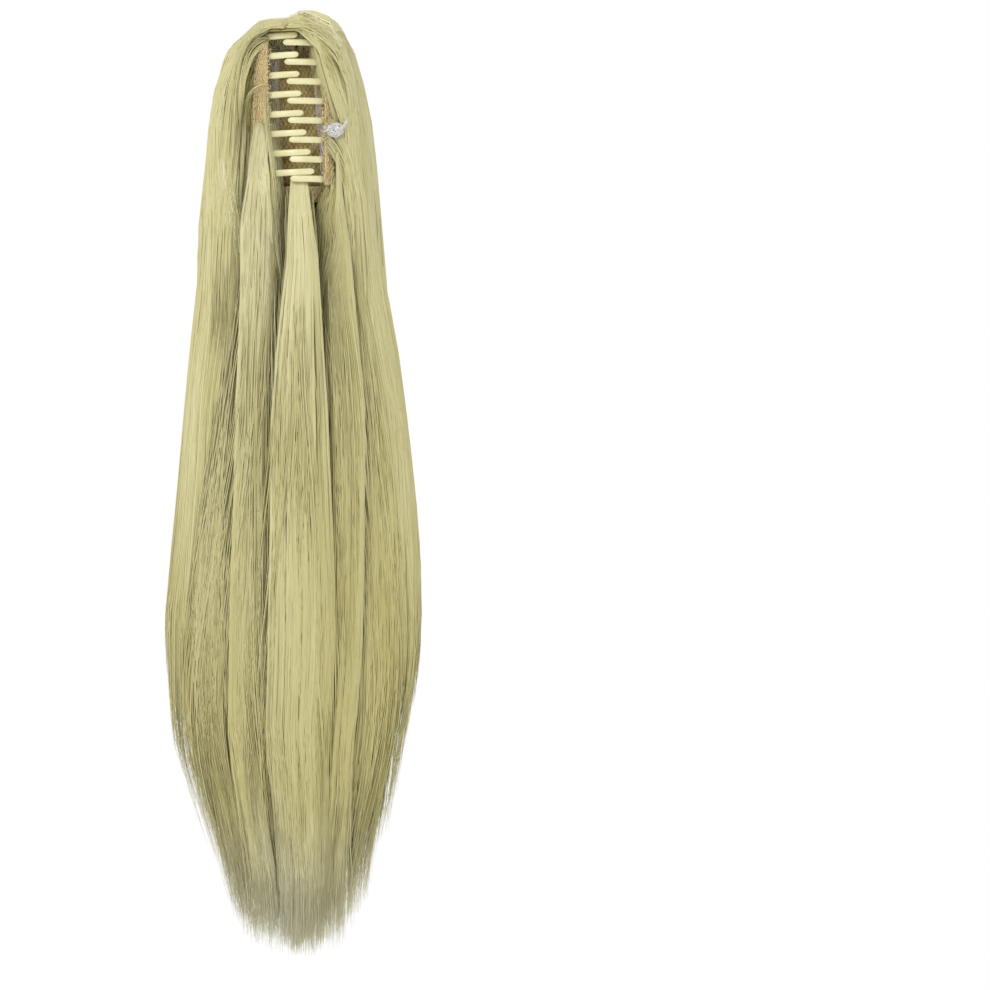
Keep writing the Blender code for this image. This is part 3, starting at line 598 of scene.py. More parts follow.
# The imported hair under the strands: the solid drawn in a little, and much more in the lower tail.
def packedHair(name):
    piece = addObject(name + "_packed", nodes[name].data.copy())
    mesh, p = piece.data, packing
    mesh.materials.clear()
    # The darker fibre of the packed hair is painted shade.
    mesh.materials.append(shadedDeepHairLook)
    root = hairSettings[name].get("from")
    high = max(v.co.z for v in mesh.vertices) - 1 * mm
    topAngles = [math.atan2(v.co.x, v.co.y - pinY) % fullTurn for v in mesh.vertices if v.co.z > high]
    middle = (min(topAngles) + max(topAngles)) / 2
    for vertex in mesh.vertices:
        x, y, z = vertex.co.x, vertex.co.y - pinY, vertex.co.z
        reach = math.hypot(x, y)
        share = (crownTop - z) / hairLength
        facing = (vertex.normal.x * x + vertex.normal.y * y) / max(reach, 1e-6)
        inset = p["inset"] if facing > 0.1 and reach > 8 * mm else 0.0
        angle = math.atan2(x, y)
        if root:
            rise = min(max((root + p["rootFrom"] - share) / p["rootOver"], 0), 1)
            inset += p["rootInset"] * rise
            pinch = 1 - (1 - hairSettings[name]["pinch"]) * rise
            angle = middle + ((angle % fullTurn) - middle) * pinch
        narrowed = 1 - p["narrowing"] * min(max((share - p["tailFrom"]) / p["tailOver"], 0), 1)
        away = max(reach - inset, p["least"]) * narrowed
        vertex.co.x, vertex.co.y = away * math.sin(angle), pinY + away * math.cos(angle)
        if root and share < root + p["rootTop"]:
            vertex.co.z = heightAt(root + p["rootTop"])
        if share < p["crown"]:
            vertex.co.x, vertex.co.z = crestShaped(vertex.co.x, vertex.co.y, z)
            vertex.co.z -= p["crownDrop"] if share < p["crownTop"] else 0
        if share > p["tipFrom"]:
            vertex.co.z = heightAt(p["tipFrom"] + (share - p["tipFrom"]) * p["tipKept"])
    addLayers(mesh, {"shade": np.full(len(mesh.vertices), 0.5), "ash": np.full(len(mesh.vertices), 0.2)})
    mesh.polygons.foreach_set("use_smooth", [False] * len(mesh.polygons))
    return piece


bodyOf = {"left_hair": "left_half", "right_hair": "right_half", "left_inner_lock": "left_half",
          "centre_lock": "left_half", "right_inner_lock": "right_half"}
for name in hairNodes:
    s, scan = hairSettings[name], scans[name]
    outer = strandPiece(name + "_strands", [combStrands(scan, s)])
    layers = [fillStrands(scan, s["fill"])]
    layers += [sideStrands(scan, end, s["sides"]) for end in s["parted"]]
    inner = strandPiece(name + "_layers", layers)
    packed = packedHair(name)
    for piece in (outer, inner, packed):
        if name == "back_hair":
            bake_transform(piece)
        else:
            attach(piece, bodyOf[name])
    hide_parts(name)
    print("combed", name)


# Strands laid over the front, between an upper and a lower line of (x, z) in millimetres

frontTree = treeOf(hairNodes + ["left_net", "right_net"])


# How far back the front of the hair lies behind each point, smoothed along each strand.
def frontDepth(x, z):
    found = np.full(x.shape, np.nan)
    for index in np.ndindex(x.shape):
        hit = frontTree.ray_cast(Vector((x[index], -0.2, z[index])), Vector((0, 1, 0)), 0.26)
        if hit[0] is not None:
            found[index] = hit[0].y
    for row in found:
        known = np.flatnonzero(~np.isnan(row))
        row[:] = np.interp(np.arange(len(row)), known, row[known]) if len(known) else -0.02
    near = np.minimum(found, np.minimum(np.roll(found, 1, axis=1), np.roll(found, -1, axis=1)))
    near[:, 0], near[:, -1] = found[:, 0], found[:, -1]
    for _ in range(3):
        near[:, 1:-1] = (near[:, :-2] + 2 * near[:, 1:-1] + near[:, 2:]) / 4
    return near


def handLine(line, stations):
    return smoothPath([(x * mm, 0, z * mm) for x, z in line], stations)


def laidStrands(lines, count, lift, toned=None, depth=None, width=(0.55, 0.95), spread=0.0):
    stations = 16
    along = np.linspace(0, 1, stations)
    upper, lower = (handLine(line, stations) for line in lines)
    wave = np.sin(9 * along + drawn(0, 6.3, count))
    mix = (drawn(0, 1, count) + 0.05 * wave)[..., None]
    paths = upper * (1 - mix) + lower * mix
    stop = drawn(0.55, 1.0, count)
    begin = drawn(0, spread, count)
    cut = (begin + (stop - begin) * along) * (stations - 1)
    low = np.minimum(cut.astype(int), stations - 2)
    part = (cut - low)[..., None]
    rows = np.arange(count)[:, None]
    paths = paths[rows, low] * (1 - part) + paths[rows, low + 1] * part
    if depth:
        paths[..., 1] = np.linspace(*depth, stations) * mm
    else:
        paths[..., 1] = frontDepth(paths[..., 0], paths[..., 2])
    paths[..., 1] -= drawn(*lift, count) * mm * (1 - 0.5 * along) ** 2
    outward = np.zeros_like(paths)
    outward[..., 1] = -1
    taper = taperTo(stations, 0.3, 0.15) * np.clip(0.4 + along * 6, 0, 1)
    widths = drawn(*width, count) * mm * taper
    if toned is None:
        toned = hairTone(180 - paths[..., 0] / mm * 0.8, (crownTop - paths[..., 2]) / hairLength)
    shade = toned[0] + rng.normal(0, 0.06, (count, 1)) + 0 * widths
    return paths, outward, widths, (np.clip(shade, 0, 1), toned[1] + 0 * shade)


# A loosely twisted bundle of strands along one line.
def ropeStrands(line, radius, turns, count, toned):
    stations = 18
    along = np.linspace(0, 1, stations)
    middle = handLine(line, stations)
    middle[:, 1] = frontDepth(middle[None, :, 0], middle[None, :, 2])[0] - radius
    spin = turns * fullTurn * along + drawn(0, 6.3, count)
    out = drawn(0.5, 1.0, count) * radius * np.interp(along, [0, 0.2, 1], [0.6, 1.0, 1.4])
    paths = np.repeat(middle[None], count, axis=0)
    paths[..., 0] += out * np.cos(spin)
    paths[..., 1] += out * 0.6 * np.sin(spin)
    outward = xyz(np.cos(spin), np.sin(spin) - 0.4, 0.0)
    widths = drawn(0.55, 0.9, count) * mm * taperTo(stations, 0.25, 0.15)
    # Painted shade: strands on the far side of the twist are darker.
    shade = toned[0] + rng.normal(0, 0.06, (count, 1)) - 0.1 * np.sin(spin)
    return paths, unit(outward), widths, (np.clip(shade, 0, 1), np.full_like(shade, toned[1]))


# The veils are long strands that lie across the seams between the front locks.
leftLines = {
    "veil": ([(-38, -95), (-50, -190), (-64, -290), (-69, -370), (-60, -430), (-43, -490)],
             [(9, -95), (13, -190), (15, -290), (15, -370), (14, -440), (12, -505)]),
    "sweep": ([(-5.4, 56.6), (-11.4, 56.2), (-22.1, 53.6), (-33.5, 43.5), (-40.4, 26), (-45.6, 2),
               (-49.3, -38), (-52, -76), (-56, -170)],
              [(-5.0, 52.0), (-11, 51.0), (-20, 49.6), (-28.5, 46.8), (-33.2, 38), (-35.4, 22), (-35.6, 3.2),
               (-36, -19), (-38.5, -44), (-41, -76), (-45, -170)]),
    "hook": ([(-17, 44.6), (-22, 45), (-29.5, 40.5), (-34, 28), (-36, 12), (-37, -10)],
             [(-17.5, 40.4), (-21, 38.6), (-26, 33.5), (-29.5, 26), (-32.5, 13), (-34.5, -10)]),
    "inside": ([(-18, 40), (-26, 33), (-32, 20), (-34, 2), (-34.5, -24)],
               [(-16, 36), (-20, 26), (-25, 14), (-28, 0), (-30, -24)]),
    "rope": [(-21, 15), (-26, 13), (-31, 7), (-33.5, -4), (-34, -19), (-35.5, -41), (-37, -63)],
    "lock": ([(-25, -8), (-29, -26), (-31, -52), (-32, -90), (-34, -150)],
             [(-17.5, -12), (-18.5, -34), (-19.5, -56), (-20.5, -90), (-22, -150)]),
    "brim": ([(-6.7, 53.2), (-14, 52.6), (-24, 50.5)], [(-6.7, 50.1), (-14, 49.8), (-24, 47.5)])}
rightLines = {
    "veil": ([(12, -95), (16, -190), (17, -290), (17, -370), (16, -440), (14, -505)],
             [(41, -95), (55, -190), (66, -290), (66, -370), (54, -430), (37, -490)]),
    "sweep": ([(-8.6, 54.8), (-2, 59.2), (5, 60.6), (16.5, 56.6), (27.2, 45.5), (35.4, 24), (39.8, -4),
               (43.6, -38), (47.4, -76), (52, -160)],
              [(-8.2, 51.6), (-3.4, 51.4), (6.2, 46.4), (16.5, 40.3), (24.4, 32.5), (29.8, 22.8),
               (32.8, 11.9), (33.6, -6), (34.7, -25.3), (37.3, -50.5), (40, -70), (45, -160)]),
    "loose": [(8, 44), (14, 35), (18.5, 25), (21.5, 14), (24.5, 2.8), (28.6, -6.2), (33, -25)],
    "inside": ([(14, 40), (24, 31), (30, 18), (32.5, 2), (34, -24)],
               [(10, 37), (17, 26), (21, 12), (25, -2), (29, -24)]),
    "lock": ([(20, -4), (27, -12), (33, -24), (38, -42), (41, -66), (43, -130)],
             [(19, -26), (24, -32), (28, -42), (30, -58), (32, -85), (34, -130)]),
    "brim": ([(-6.2, 53.2), (1, 52.6), (12, 49)], [(-6.2, 50.1), (1, 49.8), (12, 45.5)])}
wideStrand = (0.7, 1.1)
# In both lists the inside strands, in the hollows beside the clip, are darker (0.42): painted shade.
leftLaid = [laidStrands(leftLines["veil"], 420, (0.2, 1.1), spread=0.6, width=wideStrand),
            laidStrands(leftLines["sweep"], 210, (0.2, 1.6), (0.58, 0.15)),
            laidStrands(leftLines["hook"], 46, (0.3, 1.2), (0.60, 0.15), depth=(-16, -12)),
            laidStrands(leftLines["inside"], 90, (0, 3), (0.42, 0.1), depth=(-9, 2), width=wideStrand),
            ropeStrands(leftLines["rope"], 1.7 * mm, 0.6, 30, (0.60, 0.12)),
            laidStrands(leftLines["lock"], 150, (0.3, 1.4), (0.66, 0.25))]
rightLaid = [laidStrands(rightLines["veil"], 250, (0.2, 1.1), spread=0.6, width=wideStrand),
             laidStrands(rightLines["sweep"], 250, (0.2, 1.6), (0.60, 0.15)),
             laidStrands((rightLines["sweep"][1][2:-3], rightLines["loose"]), 52, (0.3, 2.0), (0.48, 0.12)),
             laidStrands(rightLines["inside"], 70, (0, 3), (0.42, 0.1), depth=(-9, 2), width=wideStrand),
             laidStrands(rightLines["lock"], 90, (0.3, 1.4), (0.62, 0.12))]
# Roots of the hair seen behind the top teeth, fanning from under the brim. They are made pale (0.80) as
# painted light, to lift the shade under the brim.
for side, batches in ((-1, leftLaid), (1, rightLaid)):
    fan = ([(side * 0.4, 51), (side * 0.8, 45), (side * 1.5, 35)],
           [(side * 24, 51), (side * 25, 44), (side * 20, 33)])
    batches.append(laidStrands(fan, 130, (0, 1.5), (0.80, 0.1), depth=(4, 12), width=(0.8, 1.2)))
# The brim's underside, combed outwards from the parting.
for lines, batches in ((leftLines, leftLaid), (rightLines, rightLaid)):
    batches.append(laidStrands(lines["brim"], 60, (0.2, 0.9), (0.56, 0.1)))
for name, body, batches in (("left_swept_hair", "left_half", leftLaid),
                            ("right_swept_hair", "right_half", rightLaid)):
    swept = strandPiece(name, batches)
    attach(swept, body)
print("swept strands laid")


# The claw clip: a plate and teeth bent round an oval ring, a rail, a thumb lever and two knuckles a jaw

clip = {"ringX": 24 * mm, "ringY": 22 * mm, "plateStart": 13.5, "plateEnd": 57.0, "plateThick": 2.4 * mm,
        "toothCount": 8, "pitch": 12.25 * mm, "topTooth": 46.2 * mm, "rightDrop": 4.65 * mm, "stations": 22,
        "capStations": 9, "toothSides": 14, "toothHidden": 12, "tipRound": 0.042, "rootHeight": 5.0 * mm,
        "tipHeight": 3.95 * mm, "rootDepth": 3.0 * mm, "tipDepth": 2.2 * mm, "leftSlope": 3.0,
        "rightSlope": -0.4, "leftPast": [0.9, 1.6, 2.2, 3.3, 4.7, 6.5, 9.1, 11.4],
        "rightPast": [8.2, 7.3, 5.9, 5.6, 5.1, 4.5, 4.0, 3.6], "leftOver": 1.8 * mm, "rightOver": 3.0 * mm}
rail = {"x": 15.0 * mm, "leftLean": 0.010, "rightLean": -0.095, "proud": 0.5 * mm, "wide": 1.1 * mm,
        "deep": 1.2 * mm, "short": 0.6 * mm}
lever = {"angle": 40, "root": (6.6 * mm, 20.5 * mm), "length": 22 * mm, "bend": 1.5 * mm, "high": 15 * mm,
         "wall": 1.3 * mm, "shares": [0, 0.5, 0.88, 1.0], "tall": [1.0, 0.94, 0.80, 0.60],
         "thick": [1.0, 0.9, 0.75, 0.55]}
knuckle = {"leftLevel": 25.0 * mm, "rightLevel": 16.4 * mm, "half": 4 * mm, "outer": 3.8 * mm,
           "bore": 1.6 * mm, "lip": 0.3 * mm, "tabIn": 2.6 * mm, "tabOut": 7.2 * mm, "tabFront": 1.6 * mm,
           "tabBack": 1.2 * mm}
pin = {"half": 29.5 * mm, "head": 31.3 * mm, "radius": 1.5 * mm, "headRadius": 2.6 * mm,
       "crown": 1.9 * mm, "tip": 0.3 * mm, "flat": 0.1 * mm, "rim": 0.9 * mm}
spring = {"coils": 16, "radius": 2.55 * mm, "half": 11.2 * mm, "wire": 1.1 * mm}


def ringFrame(angle):
    turn = np.radians(angle)
    point = np.stack([clip["ringX"] * np.sin(turn), clip["ringY"] * np.cos(turn)], axis=-1)
    return point, unit(np.stack([np.sin(turn) / clip["ringX"], np.cos(turn) / clip["ringY"]], axis=-1))


# A rounded square: the lower a power, the squarer it is in that direction.
def squareRing(count, acrossPower, upPower):
    c, n = np.cos(turnsOf(count)), np.sin(turnsOf(count))
    return np.copysign(np.abs(c) ** acrossPower, c), np.copysign(np.abs(n) ** upPower, n)


def sidedRing(side, spots, z):
    return xyz(side * spots[:, 0], spots[:, 1], z)


def toothArrays(side, height, past):
    start, end = clip["plateEnd"] - clip["toothHidden"], 180 + math.degrees(math.asin(past / clip["ringX"]))
    slope = math.tan(math.radians(clip["leftSlope"] if side < 0 else clip["rightSlope"]))
    tipRound = clip["tipRound"]
    straight = np.linspace(0, 1 - tipRound, clip["stations"])
    cap = 1 - tipRound + tipRound * np.sin(np.radians(np.linspace(12, 88, clip["capStations"])))
    c, n = squareRing(clip["toothSides"], 0.75, 0.75)
    rings = []
    for share in np.concatenate([straight, cap]):
        centre, out = ringFrame(start + (end - start) * share)
        tip = max(share - 1 + tipRound, 0) / tipRound
        size = math.sqrt(max(1 - tip * tip, 0.0012))
        tall = (clip["rootHeight"] + (clip["tipHeight"] - clip["rootHeight"]) * share) * size
        deep = (clip["rootDepth"] + (clip["tipDepth"] - clip["rootDepth"]) * share) * (0.4 + 0.6 * size)
        spots = centre + out * (0.5 * deep * c)[:, None]
        z = height + slope * side * (spots[:, 0] + past) + 0.5 * tall * n
        rings.append(sidedRing(side, spots, z))
    return loftArrays(rings)


def plateArrays(side, top, bottom):
    c, n = squareRing(20, 0.35, 0.12)
    rings = []
    for angle in np.linspace(clip["plateStart"], clip["plateEnd"], 16):
        centre, out = ringFrame(angle)
        spots = centre + out * (c * clip["plateThick"] / 2)[:, None]
        rings.append(sidedRing(side, spots, (top + bottom) / 2 + n * (top - bottom) / 2))
    return loftArrays(rings)


def railLine(side, z):
    x = rail["x"] + (rail["leftLean"] if side < 0 else rail["rightLean"]) * z
    centre, out = ringFrame(math.degrees(math.asin(x / clip["ringX"])))
    spot = centre - out * (clip["plateThick"] / 2 + rail["proud"])
    return np.array([side * spot[0], spot[1], z])


def railArrays(side, top, bottom):
    turns = turnsOf(10)
    rings = []
    for z in np.linspace(bottom + rail["short"], top - rail["short"], 12):
        x, y, _ = railLine(side, z)
        rings.append(xyz(x + rail["wide"] * np.cos(turns), y + rail["deep"] * np.sin(turns), z))
    return loftArrays(rings)


def leverArrays(side):
    turn = math.radians(lever["angle"])
    along, across = np.array([math.sin(turn), math.cos(turn)]), np.array([math.cos(turn), -math.sin(turn)])
    c, n = squareRing(20, 0.4, 0.2)
    rings = []
    for share in np.linspace(0, 1, 14):
        tall = np.interp(share, lever["shares"], lever["tall"]) * lever["high"]
        thick = np.interp(share, lever["shares"], lever["thick"]) * lever["wall"]
        middle = lever["root"] + along * lever["length"] * share + across * lever["bend"] * share**2
        rings.append(sidedRing(side, middle + across * (thick * c)[:, None], tall * n))
    return loftArrays(rings)


# Round pieces: rings of (radius, z) round an upright axis.
def turnedRings(profile, sides=28, y=pinY):
    turns = turnsOf(sides)
    return [xyz(radius * np.cos(turns), y + radius * np.sin(turns), z) for radius, z in profile]


def knuckleArrays(side, level):
    low, high = level - knuckle["half"], level + knuckle["half"]
    outer, bore, lip = knuckle["outer"], knuckle["bore"], knuckle["lip"]
    sleeve = turnedRings([(bore, low), (outer - lip, low), (outer, low + lip), (outer, high - lip),
                          (outer - lip, high), (bore, high)])
    ax, bx = sorted([side * knuckle["tabIn"], side * knuckle["tabOut"]])
    ay, by = pinY - knuckle["tabFront"], pinY + knuckle["tabBack"]
    tab = [[(ax, ay, z), (bx, ay, z), (bx, by, z), (ax, by, z)] for z in (low + lip, high - lip)]
    return [loftArrays(sleeve, closed=True), loftArrays(tab)]


for side, name, body in ((-1, "left_jaw", "left_half"), (1, "right_jaw", "right_half")):
    word = "left" if side < 0 else "right"
    topHeight = clip["topTooth"] - (0 if side < 0 else clip["rightDrop"])
    heights = [topHeight - clip["pitch"] * k for k in range(clip["toothCount"])]
    top, bottom = heights[0] + clip[word + "Over"], heights[-1] - clip[word + "Over"]
    parts = [plateArrays(side, top, bottom), leverArrays(side)]
    parts += [toothArrays(side, height, past * mm) for height, past in zip(heights, clip[word + "Past"])]
    parts.append(railArrays(side, top, bottom))
    for level in (knuckle[word + "Level"], -knuckle[word + "Level"]):
        parts += knuckleArrays(side, level)
    jaw = meshPiece(name + "_moulding", joinArrays(parts), plasticLook)
    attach(jaw, body)
    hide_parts(name)

upper = [(pin["radius"], pin["half"]), (pin["headRadius"], pin["half"]),
         (pin["headRadius"], pin["head"] - pin["rim"]), (pin["crown"], pin["head"] - pin["flat"]),
         (pin["tip"], pin["head"])]
profile = [(radius, -z) for radius, z in upper[::-1]] + upper
pinPiece = meshPiece("hinge_pin_turned", loftArrays(turnedRings(profile)), steelLook)
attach(pinPiece, "left_half")
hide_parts("hinge_pin")

turns = np.linspace(0, fullTurn * spring["coils"], 16 * spring["coils"])
coil = xyz(spring["radius"] * np.cos(turns), pinY + spring["radius"] * np.sin(turns),
           np.linspace(-spring["half"], spring["half"], len(turns)))
springPiece = meshPiece("hinge_spring_wound", threadArrays(coil[None], spring["wire"], 8), steelLook)
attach(springPiece, "left_half")
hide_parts("hinge_spring")
print("clip made")


# Looped nets: a thin ground with rows of thread loops over it. Under the side nets the ground is a sheet in
# painted shade.

net = {"offset": 3.0 * mm, "start": 50.0, "end": 138.0, "top": 41.5 * mm, "bottom": -48.0 * mm,
       "width": 36.6 * mm, "rowGap": 2.3 * mm, "loop": 2.6 * mm, "swing": 1.25 * mm, "drift": 0.5 * mm,
       "curls": 420, "curl": 0.5 * mm}
groundThick = 0.5 * mm
loopThread = 0.62 * mm


def groundArrays(pointAt, s, columns, rows):
    u, v = np.meshgrid(np.linspace(0, 1, columns), np.linspace(0, 1, rows))
    z = s["bottom"] + (s["top"] - s["bottom"]) * v
    faceLifts = (groundThick / 2, -groundThick / 2)
    points = np.concatenate([pointAt(u, z, lift + 0 * u).reshape(-1, 3) for lift in faceLifts])
    size = columns * rows
    faces = []
    for j in range(rows - 1):
        for i in range(columns - 1):
            a = j * columns + i
            quad = [a, a + 1, a + columns + 1, a + columns]
            faces += [quad, [size + v for v in quad[::-1]]]
    bottomRow, topRow = list(range(columns)), [(rows - 1) * columns + i for i in range(columns - 2, -1, -1)]
    rim = (bottomRow + [j * columns + columns - 1 for j in range(1, rows)] + topRow
           + [j * columns for j in range(rows - 2, 0, -1)])
    for a, b in zip(rim, rim[1:] + rim[:1]):
        faces.append([b, a, size + a, size + b])
    return outwardFaces(points, faces)


for side, name, body in ((-1, "left_net", "left_half"), (1, "right_net", "right_half")):
    def netPoint(u, z, lift):
        centre, out = ringFrame(net["start"] + (net["end"] - net["start"]) * u)
        spot = centre + out * (net["offset"] + np.asarray(lift)[..., None])
        return xyz(side * spot[..., 0], spot[..., 1], z)

    tall, width = net["top"] - net["bottom"], net["width"]
    # This ground is painted shade: it stands for the shaded hair seen through the open net.
    ground = meshPiece(name + "_ground", groundArrays(netPoint, net, 25, 31), shadedNetGroundLook)
    waves = int(width / net["loop"])
    u = np.linspace(0.01, 0.99, waves * 5)
    paths = []
    for k in range(int(tall / net["rowGap"])):
        z0 = net["bottom"] + net["rowGap"] * (k + 0.6)
        phase = math.pi * (k % 2) + rng.uniform(-0.4, 0.4)
        wave = net["swing"] * np.sin(u * waves * fullTurn + phase)
        drift = net["drift"] * np.sin(u * rng.uniform(5, 12) + rng.uniform(0, 6.3))
        z = np.clip(z0 + wave + drift + rng.normal(0, 0.16 * mm, len(u)), net["bottom"], net["top"])
        lift = 0.5 * mm + np.abs(0.25 * mm * np.cos(u * waves * 2 * fullTurn + phase))
        paths += [netPoint(u, z, lift), netPoint(u, z, -lift)]
    loops = meshPiece(name + "_loops", threadArrays(paths, loopThread, 3), netLook)
    fuzz = []
    for k in range(net["curls"]):
        u0 = 1.03 - 0.98 * rng.uniform() ** 2
        z0 = rng.uniform(net["bottom"] + 1 * mm, net["top"] - 1 * mm)
        turn = np.linspace(0, math.pi, 7)
        tilt = rng.uniform(0, math.pi)
        size = rng.uniform(0.6, 1.9) * mm
        z = np.clip(z0 + size * np.cos(turn) * math.sin(tilt), net["bottom"], net["top"])
        lift = (0.5 * mm + size * 0.55 * np.sin(turn)) * rng.choice([1, -1])
        fuzz.append(netPoint(u0 + size * np.cos(turn) * math.cos(tilt) / width, z, lift))
    curls = meshPiece(name + "_curls", threadArrays(fuzz, net["curl"], 3), netLook)
    for piece in (ground, loops, curls):
        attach(piece, body)
    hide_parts(name)

bridge = {"half": 25.5 * mm, "top": -48.1 * mm, "bottom": -58.3 * mm, "y": 3 * mm, "bow": 5 * mm,
          "flatWidth": 52.5 * mm, "rows": 4, "firstRow": 1.6 * mm, "rowGap": 2.2 * mm, "swing": 1.2 * mm,
          "waves": 18}


def bridgePoint(u, z, lift):
    share = 2 * u - 1
    return xyz(bridge["half"] * share, bridge["y"] + bridge["bow"] * share**2 - lift, z)


tall = bridge["top"] - bridge["bottom"]
bridgeGround = meshPiece("net_bridge_ground", groundArrays(bridgePoint, bridge, 21, 6), netLook)
paths = []
u = np.linspace(0.01, 0.99, bridge["waves"] * 8)
for k in range(bridge["rows"]):
    wave = np.sin(u * bridge["waves"] * fullTurn + math.pi * (k % 2))
    z = bridge["bottom"] + bridge["firstRow"] + bridge["rowGap"] * k + bridge["swing"] * wave
    z = np.clip(z, bridge["bottom"], bridge["top"])
    paths.append(bridgePoint(u, z, 0.5 * mm + 0.3 * mm * np.abs(wave)))
bridgeLoops = meshPiece("net_bridge_loops", threadArrays(paths, loopThread, 4), netLook)
for piece in (bridgeGround, bridgeLoops):
    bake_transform(piece)
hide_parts("net_bridge")

# The net lining between the rails, in front of the hinge
lining = {"top": 41 * mm, "bottom": -47.6 * mm, "flatWidth": 30 * mm, "edge": 1.2 * mm, "bow": 0.6 * mm,
          "rows": 35, "firstRow": 1.6 * mm, "rowGap": 2.45 * mm, "swing": 1.3 * mm, "waves": 10}


def liningPoint(u, z, lift):
    leftX = -(rail["x"] + rail["leftLean"] * z) + lining["edge"]
    rightX = rail["x"] + rail["rightLean"] * z - lining["edge"]
    leftY, rightY = railLine(-1, 0)[1], railLine(1, 0)[1]
    y = leftY + (rightY - leftY) * u + lining["bow"] * np.sin(u * math.pi)
    return xyz(leftX + (rightX - leftX) * u, y - lift, z)


tall = lining["top"] - lining["bottom"]
liningGround = meshPiece("net_lining_ground", groundArrays(liningPoint, lining, 17, 25), liningLook)
paths = []
u = np.linspace(0.0, 1.0, 60)
for k in range(lining["rows"]):
    wave = np.sin(u * lining["waves"] * fullTurn + math.pi * (k % 2) + rng.uniform(-0.5, 0.5))
    z = lining["bottom"] + lining["firstRow"] + lining["rowGap"] * k + lining["swing"] * wave
    z = np.clip(z + rng.normal(0, 0.15 * mm, 60), lining["bottom"], lining["top"])
    paths.append(liningPoint(u, z, 0.5 * mm + 0.4 * mm * np.abs(wave)))
looped = threadArrays(paths, loopThread, 3, near=(0, 0.05, 0))
liningLoops = meshPiece("net_lining_loops", looped, liningLook)
for piece in (liningGround, liningLoops):
    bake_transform(piece)
print("nets made")


# Whip stitches and long runs of thread that sew the hair's edge to the rails, and the wound knot

stitch = {"bottom": -44 * mm, "top": 42 * mm, "whips": 42, "gap": 2.05 * mm, "whipThread": 0.85 * mm,
          "runs": 9, "firstRun": -2.0 * mm, "runGap": 0.5 * mm, "runOut": 2.2 * mm, "runThread": 0.7 * mm}
for side, name, body in ((-1, "left_stitches", "left_half"), (1, "right_stitches", "right_half")):
    paths = []
    for k in range(stitch["whips"]):
        z0 = stitch["bottom"] + k * stitch["gap"] + rng.normal(0, 0.25 * mm)
        x, y, _ = railLine(side, min(max(z0, stitch["bottom"]), stitch["top"]))
        turn = np.linspace(-0.7 * math.pi, 0.7 * math.pi, 9) - math.pi / 2
        wide, deep = rng.uniform(2.2, 3.1) * mm, rng.uniform(2.0, 2.6) * mm
        lean = rng.uniform(0.4, 1.5) * mm * side
        paths.append(xyz(x + wide * np.cos(turn), y + deep * np.sin(turn), z0 + lean * np.cos(turn)))
    whips = threadArrays(paths, stitch["whipThread"], near=(side * rail["x"], 0.0165, 0.0))
    runs = []
    z = np.linspace(-43, 41, 40) * mm
    line = np.array([railLine(side, height) for height in z])
    for k in range(stitch["runs"]):
        sway = 0.4 * mm * np.sin(z / (rng.uniform(3, 7) * mm) + rng.uniform(0, 6.3))
        shift = stitch["firstRun"] + stitch["runGap"] * k + sway
        runs.append(line + xyz(shift, 0.2 * np.abs(shift) - stitch["runOut"], 0.0))
    long = threadArrays(runs, stitch["runThread"], near=(side * rail["x"], 0.05, 0.0))
    stitches = meshPiece(name, joinArrays([whips, long]), threadLook)
    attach(stitches, body)

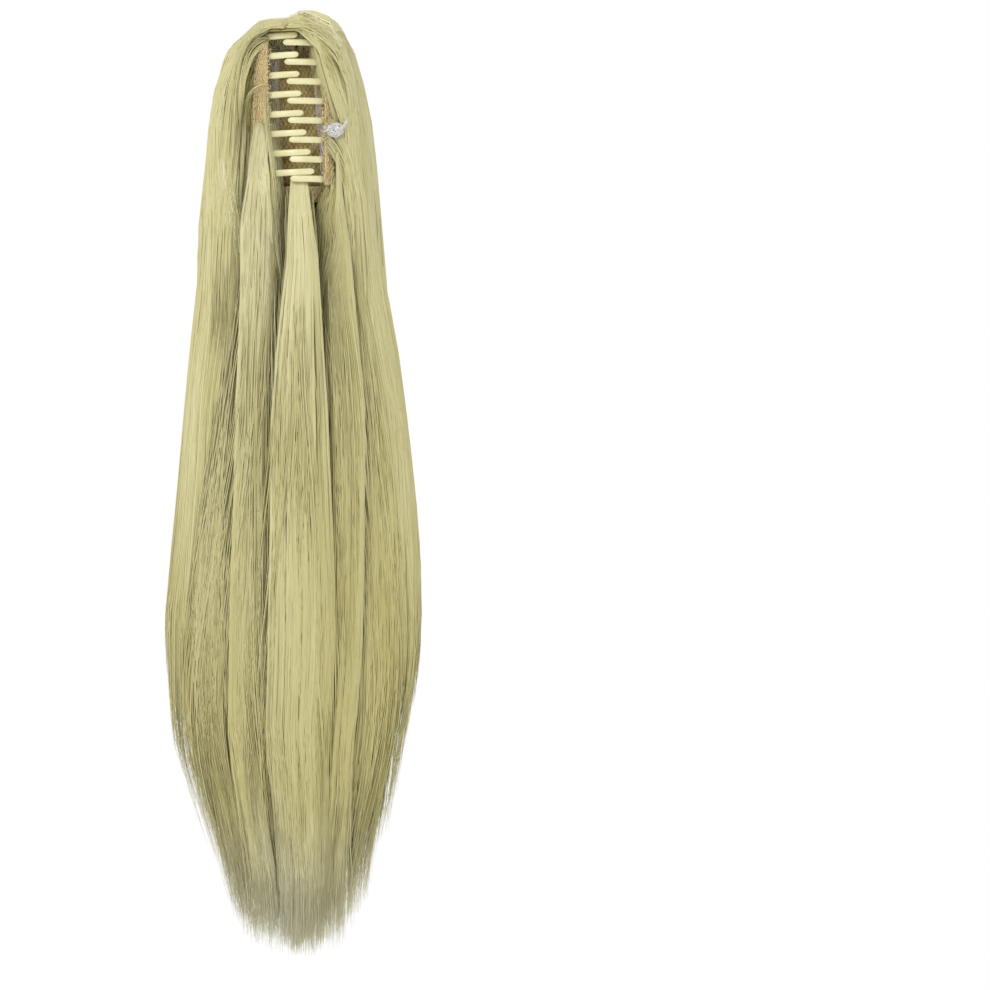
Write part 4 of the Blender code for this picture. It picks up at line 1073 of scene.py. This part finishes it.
knot = {"centre": np.array([24.6, -19.5, -13.6]) * mm, "half": np.array([5.0, 2.8, 4.4]) * mm, "loops": 34,
        "thread": 0.6 * mm, "leftEnds": 8, "ends": 14, "endThread": 0.45 * mm}
paths = []
for k in range(knot["loops"]):
    axis = unit(rng.normal(0, 1, 3))
    first = unit(np.cross(axis, rng.normal(0, 1, 3)))
    second = np.cross(axis, first)
    turn = np.linspace(0, fullTurn * 0.92, 15)[:, None]
    loop = np.cos(turn) * first + np.sin(turn) * second
    paths.append(knot["centre"] + loop * knot["half"] * rng.uniform(0.82, 1.08))
wound = threadArrays(paths, knot["thread"], near=knot["centre"])
ends = []
for k in range(knot["ends"]):
    side = -1 if k < knot["leftEnds"] else 1
    start = knot["centre"] + np.array([3.0 * side, -1.2, rng.uniform(-1, 1.5)]) * mm
    rise = rng.uniform(-2, 2) if side < 0 else rng.uniform(4, 6.5)
    ends.append(smoothPath([start, start + np.array([2.4 * side, -0.8, 0.3 * rise + 0.3]) * mm,
                            start + np.array([4.6 * side, 0.2, rise]) * mm], 9))
loose = threadArrays(ends, knot["endThread"], 4, near=knot["centre"])
knotPiece = meshPiece("thread_knot_wound", joinArrays([wound, loose]), knotLook)
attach(knotPiece, "right_half")
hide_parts("thread_knot")
print("stitches and knot made")


# Stage, light and camera: white surroundings, a soft key from upper left, the camera level and square on

stage = {"floor": -0.60, "sides": 72, "profile": [(0.002, 0), (0.5, 0), (0.8, 0), (0.84, -0.004),
                                                  (0.85, -0.02), (0.83, -0.025), (0.002, -0.025)]}
profile = [(radius, stage["floor"] + z) for radius, z in stage["profile"]]
floorLook = noisyMaterial("matteStudioCard", "#efefee", "#f6f6f5", 60.0, 0.9)
floor = meshPiece("floor", loftArrays(turnedRings(profile, stage["sides"], 0.0)), floorLook)

lamps = {"key": ((-1.0, -3.0, 1.6), 1.2, 46), "back": ((1.2, 2.8, 1.8), 1.6, 34)}
for name, (spot, size, power) in lamps.items():
    data = bpy.data.lights.new(name, "AREA")
    data.energy = power
    data.size = size
    lamp = addObject(name, data)
    lamp.location = spot
    lamp.rotation_euler = (Vector((0, 0, -0.2)) - Vector(spot)).to_track_quat("-Z", "Y").to_euler()

world = bpy.data.worlds.new("soft")
bpy.context.scene.world = world
world.use_nodes = True
world.node_tree.nodes["Background"].inputs["Color"].default_value = (1, 1, 1, 1)
world.node_tree.nodes["Background"].inputs["Strength"].default_value = 1.0
bpy.context.scene.view_settings.view_transform = "Standard"

view = {"wide": 0.6253, "distance": 5.0, "x": 0.1251, "z": -0.2432, "sensor": 36}
camera = bpy.data.cameras.new("camera")
camera.sensor_width = view["sensor"]
camera.lens = view["sensor"] * view["distance"] / view["wide"]
camera.clip_end = 50
eye = addObject("camera", camera)
eye.location = (view["x"], -view["distance"], view["z"])
eye.rotation_euler = (math.pi / 2, 0, 0)
bpy.context.scene.camera = eye
print("stage set")
